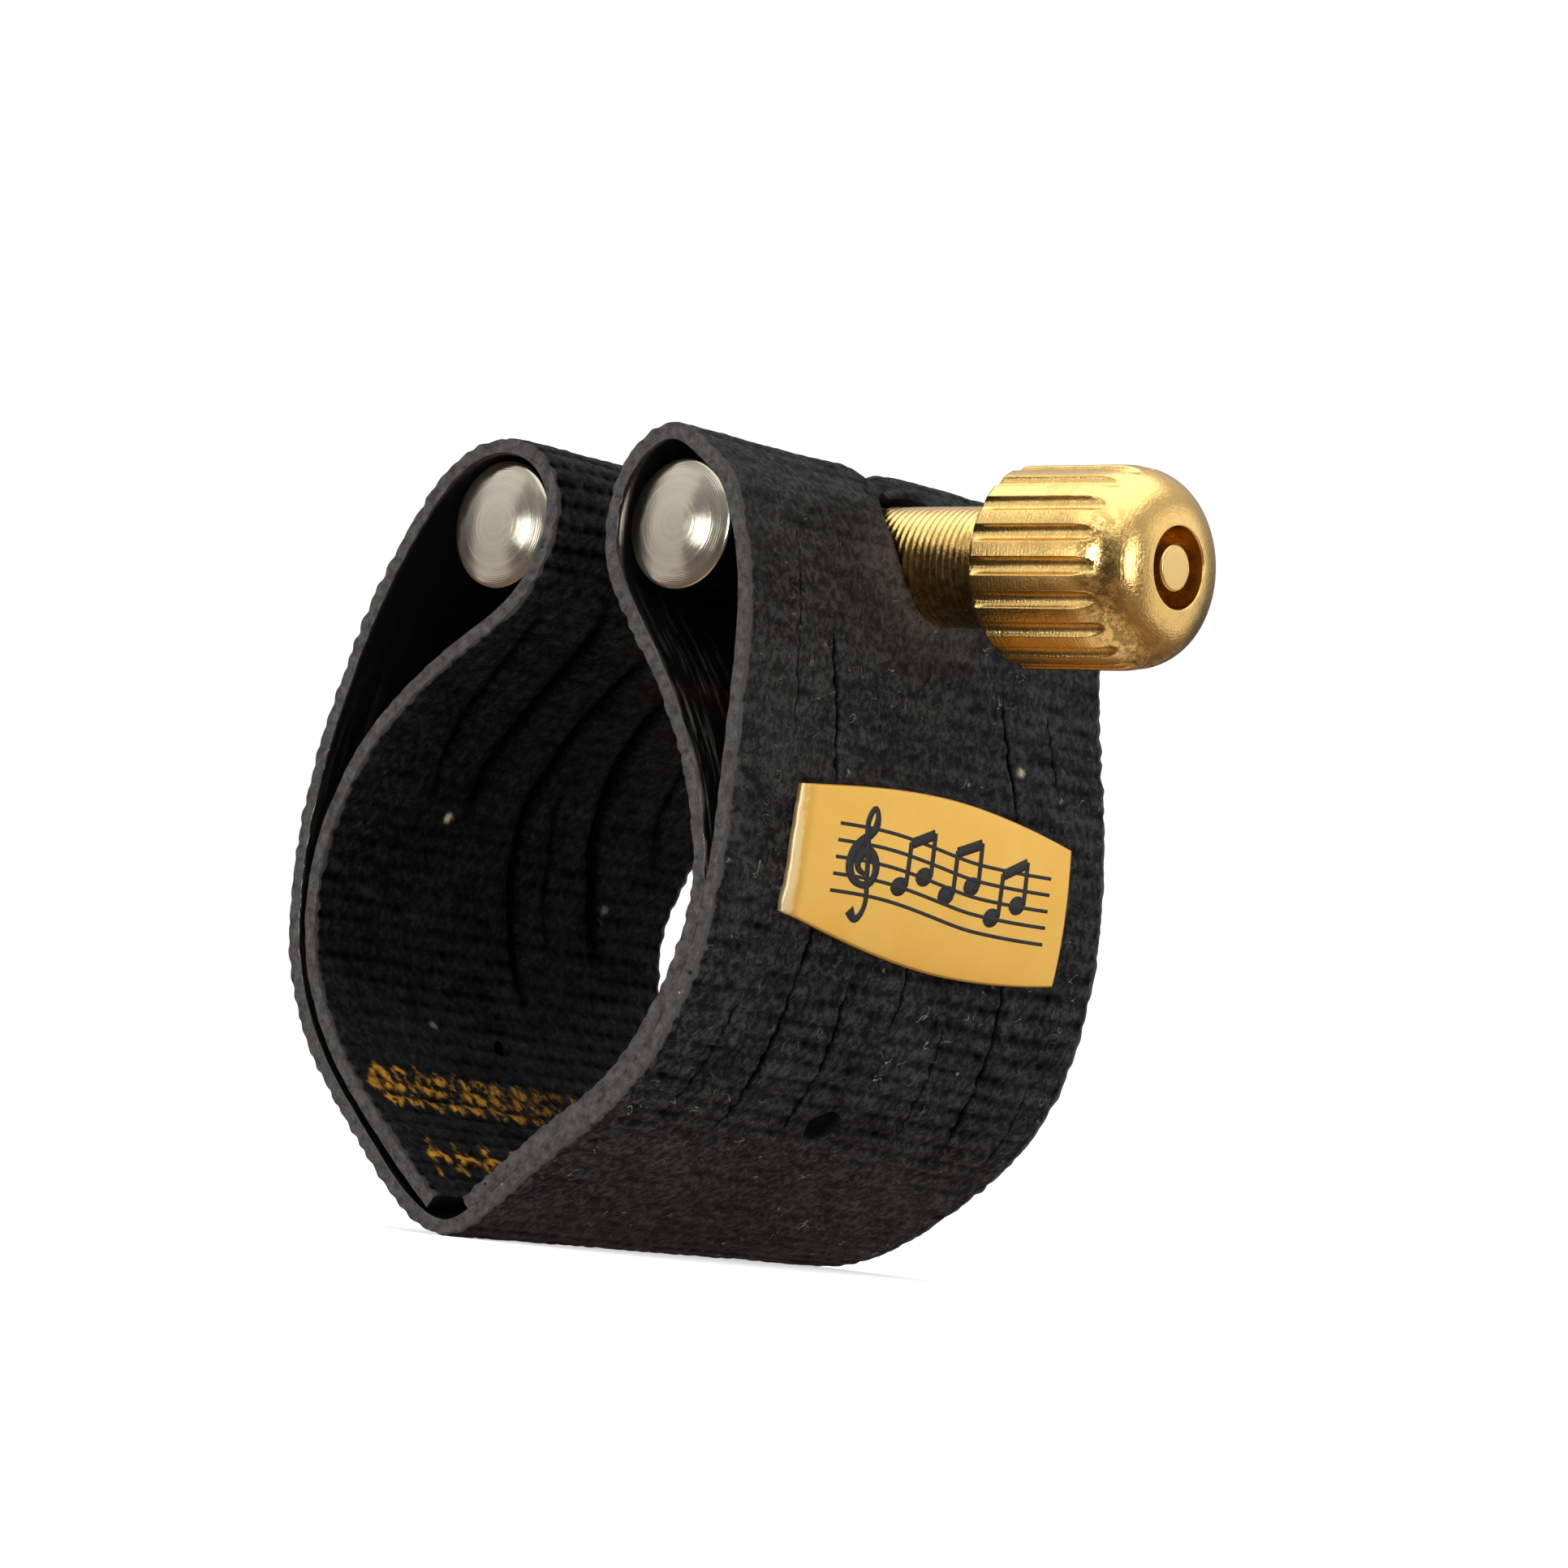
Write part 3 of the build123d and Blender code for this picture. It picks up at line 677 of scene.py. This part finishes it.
    columns = len(across)
    number = s_grid.size
    ids = np.arange(number).reshape(s_grid.shape)
    i, j = np.nonzero(kept)
    quad = np.stack([ids[i, j], ids[i + 1, j], ids[i + 1, j + 1], ids[i, j + 1]], -1)
    faces = [quad[:, ::-1], quad + number]
    slots = [np.zeros(len(quad)), np.full(len(quad), 2)]
    points = [sides[0].reshape(-1, 3), sides[1].reshape(-1, 3)]

    def wall(a, b):
        """Faces from the ribbed side's edge a-b down to the same edge of the smooth side."""
        faces.append(np.stack([a, b, b + number, a + number], -1))
        # slot 3 is the near-black hole wall: painted shade
        slots.append(np.full(len(a), 3))

    taken = np.pad(~kept, 1)
    for di, dj, first, second in ((-1, 0, (0, 1), (0, 0)), (1, 0, (1, 0), (1, 1)),
                                  (0, -1, (0, 0), (1, 0)), (0, 1, (1, 1), (0, 1))):
        beside = taken[1 + di:taken.shape[0] - 1 + di, 1 + dj:taken.shape[1] - 1 + dj]
        i, j = np.nonzero(kept & beside)
        wall(ids[i + first[0], j + first[1]], ids[i + second[0], j + second[1]])
    wall(ids[0, 1:], ids[0, :-1])
    wall(ids[-1, :-1], ids[-1, 1:])

    # Cut edges, with their fibres standing up a little unevenly
    layers = 6
    for column in (0, columns - 1):
        top, low = sides[0][:, column], sides[1][:, column]
        rows_between = []
        for layer in range(1, layers):
            part = layer / layers
            line = top * (1 - part) + low * part
            rough = 0.05 * wander(rows, 0.3, 100 + layer) + 0.03 * wander(rows, 0.14, 120 + layer)
            line[:, 1] += np.sign(line[0, 1]) * (rough - 0.02)
            rows_between.append(line)
        first = sum(len(p) for p in points)
        points.append(np.concatenate(rows_between))
        chain = [ids[:, column]]
        chain += [first + (layer - 1) * len(rows) + np.arange(len(rows)) for layer in range(1, layers)]
        chain.append(ids[:, column] + number)
        for upper, lower in zip(chain, chain[1:]):
            ring = np.stack([upper[:-1], lower[:-1], lower[1:], upper[1:]], -1)
            faces.append(ring[:, ::-1] if column == 0 else ring)
            slots.append(np.ones(len(ring)))

    points, faces, slots = np.concatenate(points), np.concatenate(faces), np.concatenate(slots)
    ink = strap_ink(s_grid, y_grid) * np.clip(4 * painted_shade_and_tone - 1.15, 0, 1)
    extra = np.zeros(len(points) - number)
    # crack: painted shade in the cracks, creases and the dragged valley
    values = {"ink": np.r_[ink.ravel(), extra], "painted_crack_shade": np.r_[painted_crack_shade.ravel(), extra],
              # rib: painted shade in the rib valleys and along the lining, with random tone
              "rib": np.r_[painted_shade_and_tone.ravel(), extra + 1], "dust": np.r_[dust.ravel(), extra],
              "grit": np.r_[grit.ravel(), extra], "rim": np.r_[np.exp(-edge / 0.55).ravel(), extra],
              "linty": np.r_[(0.15 + 0.85 * (s_grid > S_FOLD)).ravel(), extra]}
    used = np.zeros(len(points), bool)
    used[faces.ravel()] = True
    renumber = np.cumsum(used) - 1
    values = {key: value[used] for key, value in values.items()}
    return mesh_object("strap", points[used], renumber[faces], slots,
                       (MAT_STRAP, MAT_EDGE, MAT_FILM, MAT_HOLE_WALL_SHADE), values)


strap = build_strap()
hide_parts("strap_left", "strap_right")

# ------------ turned pieces
def turned(name, profile, angles, centre, axis, mats, slots=None, change=None, closed=False):
    """A solid of revolution: profile is (along, radius) pairs, first and last on the axis or closed."""
    profile = np.array(profile, float)
    along = np.repeat(profile[:, :1], len(angles), 1)
    radius = np.repeat(profile[:, 1:], len(angles), 1)
    if change is not None:
        radius = change(along, radius, np.asarray(angles)[None, :])
    c, s = np.cos(angles)[None, :] * radius, np.sin(angles)[None, :] * radius
    if axis == "X":
        points = np.stack([along, centre[1] + c, centre[2] + s], -1)
    else:
        points = np.stack([centre[0] + s, along, centre[2] + c], -1)
    quads = grid_quads(len(profile), len(angles), close_rows=closed, close_columns=True)[:, ::-1]
    face_slots = None
    if slots is not None:
        face_slots = np.repeat(slots, len(angles))
    return mesh_object(name, points.reshape(-1, 3), quads, face_slots, mats)


def arc(centre, radius, start, end, count):
    """Points of an arc in the profile plane, by angle in degrees."""
    a = np.radians(np.linspace(start, end, count))
    return [(centre[0] + radius * math.cos(t), centre[1] + radius * math.sin(t)) for t in a]


def spaced(a, b, step):
    """Points from a up to, not including, b."""
    count = max(1, int(round(math.dist(a, b) / step)))
    return [(a[0] + (b[0] - a[0]) * k / count, a[1] + (b[1] - a[1]) * k / count) for k in range(count)]


def build_bar(name, x):
    half, dome = 13.45, 0.5
    radius = 3.175
    sphere = (radius**2 + dome**2) / (2 * dome)
    profile = []
    for side in (-1, 1):
        end = [(side * (half - 0.02 + math.sqrt(sphere**2 - r**2) - (sphere - dome)), r)
               for r in np.linspace(0.001, radius - 0.1, 26)]
        end += [(side * (half - 0.05), radius - 0.03), (side * (half - 0.15), radius)]
        profile += end if side < 0 else spaced((-half + 0.5, radius), (half - 0.3, radius), 0.5) + end[::-1]
    angles = np.linspace(0, 2 * math.pi, 97)[:-1]
    # the middle of the bar gets the dark painted-shade material
    slots = [int(abs(along) < 9) for along, _ in profile]
    bar = turned(name, profile, angles, (x, 0, BAR_Z), "Y", (MAT_STEEL, MAT_BAR_SHADE), slots[:-1])
    # the rings are about the bar's own axis
    shift = Vector((x, 0, BAR_Z)) * MM
    bar.data.transform(Matrix.Translation(-shift))
    bar.location = shift
    return bar


left_bar = build_bar("left_bar_rod", LEFT_BAR_X)
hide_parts("left_crossbar")
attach(left_bar, "left_bar")
right_bar = build_bar("right_bar_rod", RIGHT_BAR_X)
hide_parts("right_crossbar")
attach(right_bar, "right_bar")

KNOB_R, NECK_R, HOLE_R = 4.86, 2.95, 1.95
KNOB_BACK, SHOULDER, FACE = 18.6, 23.9, 27.55
FLUTES, FLUTE_R, FLUTE_DEPTH, FLUTE_START = 19, 0.45, 0.33, math.radians(187.7)
DOME_POWER = 2.9
NECK_END = RIGHT_BAR_X + 2.03


def build_knob():
    reach = (1 - (HOLE_R / KNOB_R) ** DOME_POWER) ** (1 / DOME_POWER)
    dome_length = (FACE - SHOULDER) / reach
    outer = spaced((NECK_END, 1.99), (NECK_END, NECK_R - 0.15), 0.3)
    outer += [(NECK_END, NECK_R - 0.15), (NECK_END + 0.15, NECK_R)]
    for along, _ in spaced((NECK_END + 0.3, 0), (KNOB_BACK - 0.7, 0), 0.045):
        mark = 0.012 * math.cos(2 * math.pi * along / 0.40) * smooth(10.5, 11.5, along)
        outer.append((along, NECK_R - 0.02 + float(mark) * float(1 - smooth(16.2, 17.3, along))))
    outer += arc((KNOB_BACK - 0.65, NECK_R + 0.6), 0.6, -90, 0, 10)[1:]
    outer += [(KNOB_BACK, NECK_R + 0.75)]
    outer += spaced((KNOB_BACK, NECK_R + 0.85), (KNOB_BACK, KNOB_R - 0.3), 0.2)
    outer += [(KNOB_BACK, KNOB_R - 0.27), (KNOB_BACK + 0.03, KNOB_R - 0.22), (KNOB_BACK + 0.2, KNOB_R - 0.04),
              (KNOB_BACK + 0.26, KNOB_R)]
    outer += spaced((KNOB_BACK + 0.35, KNOB_R), (SHOULDER, KNOB_R), 0.08)
    for t in np.linspace(0, 1, 60) ** 1.35:
        radius = KNOB_R - (KNOB_R - HOLE_R - 0.1) * t
        bulge = (1 - (radius / KNOB_R) ** DOME_POWER) ** (1 / DOME_POWER)
        outer.append((SHOULDER + dome_length * bulge, radius))
    tip = outer[-1]
    outer += [(tip[0] - 0.005, HOLE_R + 0.04), (tip[0] - 0.05, HOLE_R + 0.005)]
    hole_from = len(outer)
    outer += spaced((tip[0] - 0.12, HOLE_R), (24.75, HOLE_R), 0.25)
    outer += arc((24.85, HOLE_R - 0.25), 0.25, 90, 180, 5)
    outer += [(24.6, 1.22), (24.55, 1.19)]
    outer += spaced((24.4, 1.19), (19.5, 1.19), 0.7) + [(19.5, 1.19), (19.5, 1.99)]
    angles = []
    half = math.asin(math.sqrt(FLUTE_R**2 - (FLUTE_R - FLUTE_DEPTH) ** 2) / KNOB_R)
    period = 2 * math.pi / FLUTES
    shape = [-1.09, -1.0, -0.93, -0.8, -0.6, -0.4, -0.2, 0, 0.2, 0.4, 0.6, 0.8, 0.93, 1.0, 1.09]
    land = period - 2.18 * half
    for flute in range(FLUTES):
        centre = FLUTE_START + flute * period
        angles += [centre + f * half for f in shape]
        angles += [centre + 1.09 * half + land * k / 5 for k in range(1, 5)]

    def cut(along, radius, angle):
        """Takes the flutes out of the cylinder and the dome's shoulder."""
        off = (angle - FLUTE_START + period / 2) % period - period / 2
        reach = KNOB_R - FLUTE_DEPTH + FLUTE_R
        under = np.maximum(FLUTE_R**2 - (reach * np.sin(off)) ** 2, 0)
        groove = np.where(under > 0, reach * np.cos(off) - np.sqrt(under), 99)
        on_side = (along > KNOB_BACK - 0.001) & (along < 26.4) & (radius > KNOB_R - 0.6)
        return np.where(on_side, np.minimum(radius, groove), radius)

    slots = np.zeros(len(outer), int)
    slots[hole_from:] = 1
    return turned("knob_body", outer, np.array(angles), (0, 0, BAR_Z), "X", (MAT_KNOB, MAT_HOLE),
                  slots, cut, closed=True)


knob = build_knob()
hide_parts("knob")
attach(knob, "screw")


def build_stud():
    """The M4 stud with its real helical thread, and the turned-down end seen in the knob."""
    radius, pitch, depth = 1.95, 0.7, 0.4
    tip, shoulder, pin, end = -4.2, 19.45, 1.12, 27.35
    profile = [(tip, 0.001)] + spaced((tip, 0.4), (tip, 1.4), 0.4) + [(tip, 1.45)]
    profile += spaced((tip + 0.05, radius), (NECK_END, radius), pitch / 12)
    profile += spaced((NECK_END, radius), (shoulder, radius), 1.0) + [(shoulder, radius), (shoulder, pin)]
    profile += spaced((shoulder + 0.1, pin), (end - 0.2, pin), 0.6)
    profile += arc((end - 0.15, pin - 0.15), 0.15, 90, 0, 6) + [(end, 0.5), (end, 0.001)]
    angles = np.linspace(0, 2 * math.pi, 73)[:-1]

    def thread(along, value, angle):
        turn = (along / pitch - angle / (2 * math.pi)) % 1.0
        tooth = np.clip(np.abs(turn - 0.5) * 2 * 1.2 - 0.1, 0, 1)
        cut = radius - depth * (1 - tooth)
        taper = radius - 0.55 * (1 - smooth(0, 0.6, along - tip))
        threaded = (along > tip + 0.01) & (along < NECK_END) & (value > 1.9)
        return np.where(threaded, np.minimum(cut, taper), value)

    return turned("stud_screw", profile, angles, (0, 0, BAR_Z), "X", (MAT_STUD,), change=thread)


stud = build_stud()
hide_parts("stud")
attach(stud, "screw")

# ------------ label
LABEL = {"width": 20.4, "height": 8.2, "bow": 0.87, "thick": 0.5, "y": 0.4, "z": 3.35,
         "tilt": math.radians(-3.5)}
S_LABEL = along_near(13.35, LABEL["z"])


def on_label(u, v, lift):
    """A point of the label: u to the far side, v up, from its middle, lift off the wall."""
    c, s = math.cos(LABEL["tilt"]), math.sin(LABEL["tilt"])
    y, along = LABEL["y"] + u * c - v * s, S_LABEL + u * s + v * c
    x, z, tx, tz = on_strip(along, y)
    off = THICK / 2 + 0.02 + lift
    return np.stack([x + tz * off, y, z - tx * off], -1)


def build_label():
    half_w, half_h, thick = LABEL["width"] / 2, LABEL["height"] / 2, LABEL["thick"]
    inset = [0.0, 0.04, 0.12, 0.3]
    us = np.r_[-half_w + np.array(inset), np.linspace(-half_w + 0.6, half_w - 0.6, 60),
               half_w - np.array(inset[::-1])]
    vs = np.r_[-half_h + np.array(inset), np.linspace(-half_h + 0.5, half_h - 0.5, 24),
               half_h - np.array(inset[::-1])]
    u, v = np.meshgrid(us, vs, indexing="ij")
    edge = np.minimum(half_w - np.abs(u), half_h - np.abs(v))
    bowed = 1 - LABEL["bow"] * (u / half_w) ** 2 / half_h
    v = v * bowed * (1 - 0.075 * smooth(3, -half_w, u)) + 0.06 * (u / half_w)
    wear = 0.16 * (u < 0) * (1 - smooth(0.1, 0.85, half_w - np.abs(u)))
    top = thick - 0.07 * (1 - smooth(0, 0.05, edge)) - wear
    u = u + 0.06 * (1 - smooth(-half_w, -half_w + 0.4, u)) * wander(v.ravel() + 9, 0.4, 51).reshape(u.shape)
    points = np.concatenate([on_label(u, v, top).reshape(-1, 3),
                             on_label(u, v, np.zeros_like(u)).reshape(-1, 3)])
    n = u.size
    quads = grid_quads(len(us), len(vs))
    ids = np.arange(n).reshape(u.shape)
    rings = [(ids[:-1, 0], ids[1:, 0]), (ids[1:, -1], ids[:-1, -1]), (ids[0, 1:], ids[0, :-1]),
             (ids[-1, :-1], ids[-1, 1:])]
    walls = [np.stack([a, a + n, b + n, b], -1) for a, b in rings]
    faces = np.concatenate([quads, quads[:, ::-1] + n] + walls)
    return mesh_object("label", points, faces, None, (MAT_LABEL,))


label = build_label()
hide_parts("label_plate")
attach(label, "strap_right")


def stroke(line, widths, lift=0.0):
    """Points and faces of a thin flat ink stroke along a line on the label."""
    line, widths = np.array(line, float), np.array(widths, float)
    steps = 8 * (len(line) - 1) + 1
    if len(line) > 2:
        curve, along = natural_spline(line, 400)
        t = np.linspace(0, along[-1], steps)
        path = np.stack([np.interp(t, along, curve[:, 0]), np.interp(t, along, curve[:, 1])], -1)
        given = np.r_[0, np.cumsum(np.hypot(*np.diff(line, axis=0).T))]
        width = np.interp(t / along[-1], given / given[-1], widths)
    else:
        part = np.linspace(0, 1, steps)[:, None]
        path = line[0] * (1 - part) + line[1] * part
        width = np.interp(part[:, 0], [0, 1], widths)
    direction = np.gradient(path, axis=0)
    direction /= np.hypot(*direction.T)[:, None]
    side = np.stack([-direction[:, 1], direction[:, 0]], -1) * width[:, None] / 2
    low, high = LABEL["thick"] - 0.01, LABEL["thick"] + 0.012 + lift
    rails = [(path - side, low), (path - side, high), (path + side, high), (path + side, low)]
    points = np.concatenate([on_label(p[:, 0], p[:, 1], np.full(steps, h)) for p, h in rails])
    quads = []
    for k in range(4):
        a, b = k * steps + np.arange(steps), (k + 1) % 4 * steps + np.arange(steps)
        quads.append(np.stack([a[:-1], b[:-1], b[1:], a[1:]], -1))
    quads.append(np.array([[0, steps, 2 * steps, 3 * steps][::-1]]))
    quads.append(np.array([[steps - 1, 2 * steps - 1, 3 * steps - 1, 4 * steps - 1]]))
    return points, np.concatenate(quads)


def disc(centre, radius_u, radius_v, tilt=0.0):
    """A round ink spot, as a short fat stroke tapering at both ends."""
    a = np.linspace(-1, 1, 9)
    line = [(centre[0] + radius_u * t * math.cos(tilt), centre[1] + radius_u * t * math.sin(tilt)) for t in a]
    return stroke(line, 2 * radius_v * np.sqrt(np.maximum(1 - a**2, 0.02)))


def build_emblem():
    """A plain musical device: a five-line staff with a spiral clef and a run of notes."""
    strokes = []
    left, right = -7.4, 8.7
    rise = [0.0, 0.22, 0.1, -0.15, -0.1, 0.12]

    def sway(u):
        return float(np.interp(u, np.linspace(left, right, len(rise)), rise))

    for number in range(5):
        level = (number - 2) * 0.78
        us = np.linspace(left, right, 9)
        strokes.append(stroke([(u, level + sway(u)) for u in us], np.full(9, 0.17), 0.0))
    clef = [(-5.2, -0.45), (-5.75, -0.2), (-5.6, 0.45), (-4.9, 0.55), (-4.45, 0.0), (-4.7, -0.75),
            (-5.5, -0.95),
            (-6.3, -0.4), (-6.15, 0.5), (-5.3, 1.3), (-4.75, 2.05), (-4.95, 2.65), (-5.35, 2.2), (-5.25, 1.0),
            (-4.95, -0.8), (-4.85, -2.0), (-5.3, -2.55), (-5.8, -2.2)]
    thick = [0.2, 0.4, 0.6, 0.55, 0.5, 0.4, 0.34, 0.55, 0.6, 0.45, 0.45, 0.28, 0.34, 0.36, 0.32, 0.3,
             0.36, 0.6]
    strokes.append(stroke(clef, thick, 0.004))
    heads = [(-2.6, -0.75), (-0.9, 0.05), (0.9, -0.35), (2.7, 0.45), (4.5, -0.75), (6.3, 0.05)]
    for u, v in heads:
        strokes.append(disc((u, v + sway(u)), 0.62, 0.44, 0.35))
        stem = u + 0.48
        strokes.append(stroke([(stem, v + 0.1 + sway(u)), (stem, v + 2.15 + sway(u))], [0.3, 0.3], 0.002))
    for a, b in ((0, 1), (2, 3), (4, 5)):
        ends = [(heads[k][0] + 0.48, heads[k][1] + 2.08 + sway(heads[k][0])) for k in (a, b)]
        strokes.append(stroke([ends[0], ends[1]], [0.5, 0.5], 0.003))
    points, quads, first = [], [], 0
    for p, q in strokes:
        points.append(p)
        quads.append(q + first)
        first += len(p)
    return mesh_object("label_emblem", np.concatenate(points), np.concatenate(quads), None, (MAT_INK,))


emblem = build_emblem()
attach(emblem, "strap_right")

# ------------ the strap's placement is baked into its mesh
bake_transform(strap)

# ------------ floor, light and camera
def build_stage():
    mesh = bpy.data.meshes.new("floor")
    size, z = 4.0, (FLOOR_Z - 0.03) * MM
    corners = [(-size, -size, z), (size, -size, z), (size, size, z), (-size, size, z)]
    mesh.from_pydata(corners, [], [(0, 1, 2, 3)])
    floor = bpy.data.objects.new("floor", mesh)
    bpy.context.scene.collection.objects.link(floor)
    mat, _, shader = material("floor_white", (0.86, 0.86, 0.86), 0, 0.9, 0.1)
    shader.inputs["Emission Color"].default_value = (1, 1, 1, 1)
    shader.inputs["Emission Strength"].default_value = 0.55
    mesh.materials.append(mat)
    floor.visible_glossy = False


def build_world():
    """A white surround: bright above, dimmer low down, and plain white behind the object."""
    world = bpy.data.worlds.new("studio")
    bpy.context.scene.world = world
    world.use_nodes = True
    tree = world.node_tree
    tree.nodes.clear()
    direction = node(tree, "TexCoord").outputs["Generated"]
    height = node(tree, "SeparateXYZ", None, Vector=direction).outputs["Z"]
    shift = node(tree, "Math", {"operation": "MULTIPLY_ADD"}, _0=height, _1=0.5, _2=0.5)
    steps = node(tree, "ValToRGB", None, Fac=shift.outputs[0])
    ramp_stops = steps.color_ramp
    ramp_stops.elements[0].position, ramp_stops.elements[0].color = 0.0, (0.95, 0.9, 0.8, 1)
    ramp_stops.elements[1].position, ramp_stops.elements[1].color = 1.0, (1.0, 1.0, 1.0, 1)
    for position, level, warm in ((0.06, 0.9, 0.8), (0.10, 0.5, 0.6), (0.18, 0.30, 0.5), (0.36, 0.26, 0.68),
                                  (0.47, 0.09, 1.0), (0.60, 0.3, 1.0), (0.75, 0.6, 1.0)):
        stop = ramp_stops.elements.new(position)
        stop.color = (level, level * (0.4 + 0.6 * warm), level * warm, 1)
    lit = node(tree, "Background", None, Color=steps.outputs["Color"], Strength=0.9)
    plain = node(tree, "Background", None, Color=(1, 1, 1, 1), Strength=1.05)
    seen = node(tree, "LightPath").outputs["Is Camera Ray"]
    both = node(tree, "MixShader", None, _0=seen, _1=lit.outputs[0], _2=plain.outputs[0])
    out = node(tree, "OutputWorld")
    tree.links.new(both.outputs[0], out.inputs["Surface"])


def soft_light(name, direction, distance, width, height, power):
    """A soft box facing the object from a direction."""
    data = bpy.data.lights.new(name, "AREA")
    data.shape, data.size, data.size_y, data.energy = "RECTANGLE", width, height, power
    lamp = bpy.data.objects.new(name, data)
    bpy.context.scene.collection.objects.link(lamp)
    away = Vector(direction).normalized()
    lamp.location = away * distance
    lamp.rotation_mode = "QUATERNION"
    lamp.rotation_quaternion = away.to_track_quat("Z", "Y")
    lamp.visible_camera = False


def build_camera():
    data = bpy.data.cameras.new("camera")
    data.sensor_width, data.lens = 36.0, 119.46
    data.clip_start, data.clip_end = 0.01, 100
    camera = bpy.data.objects.new("camera", data)
    bpy.context.scene.collection.objects.link(camera)
    forward = Vector((-0.65467, 0.75231, 0.07376)).normalized()
    up = Vector((-0.02898, -0.12249, 0.99205))
    right = forward.cross(up).normalized()
    up = right.cross(forward)
    camera.matrix_world = Matrix((
        (right.x, up.x, -forward.x, 172.871 * MM), (right.y, up.y, -forward.y, -193.395 * MM),
        (right.z, up.z, -forward.z, -11.144 * MM), (0, 0, 0, 1)))
    bpy.context.scene.camera = camera


build_stage()
build_world()
soft_light("front_box", (-0.375, -0.927, 0.09), 0.5, 0.08, 0.09, 0.13)
soft_light("left_wall", (-0.72, -0.69, 0.15), 0.6, 0.30, 0.5, 0.30)
soft_light("shoulder_box", (0.24, -0.97, 0.10), 0.6, 0.055, 0.10, 1.7)
soft_light("end_box", (1.0, 0.0, 0.10), 0.6, 0.08, 0.20, 0.55)
soft_light("right_wall", (0.66, 0.75, 0.10), 0.6, 0.5, 0.5, 0.58)
soft_light("top_box", (0.1, -0.25, 1.0), 0.6, 1.2, 1.2, 5.6)
build_camera()
bpy.context.scene.view_settings.view_transform = "Standard"
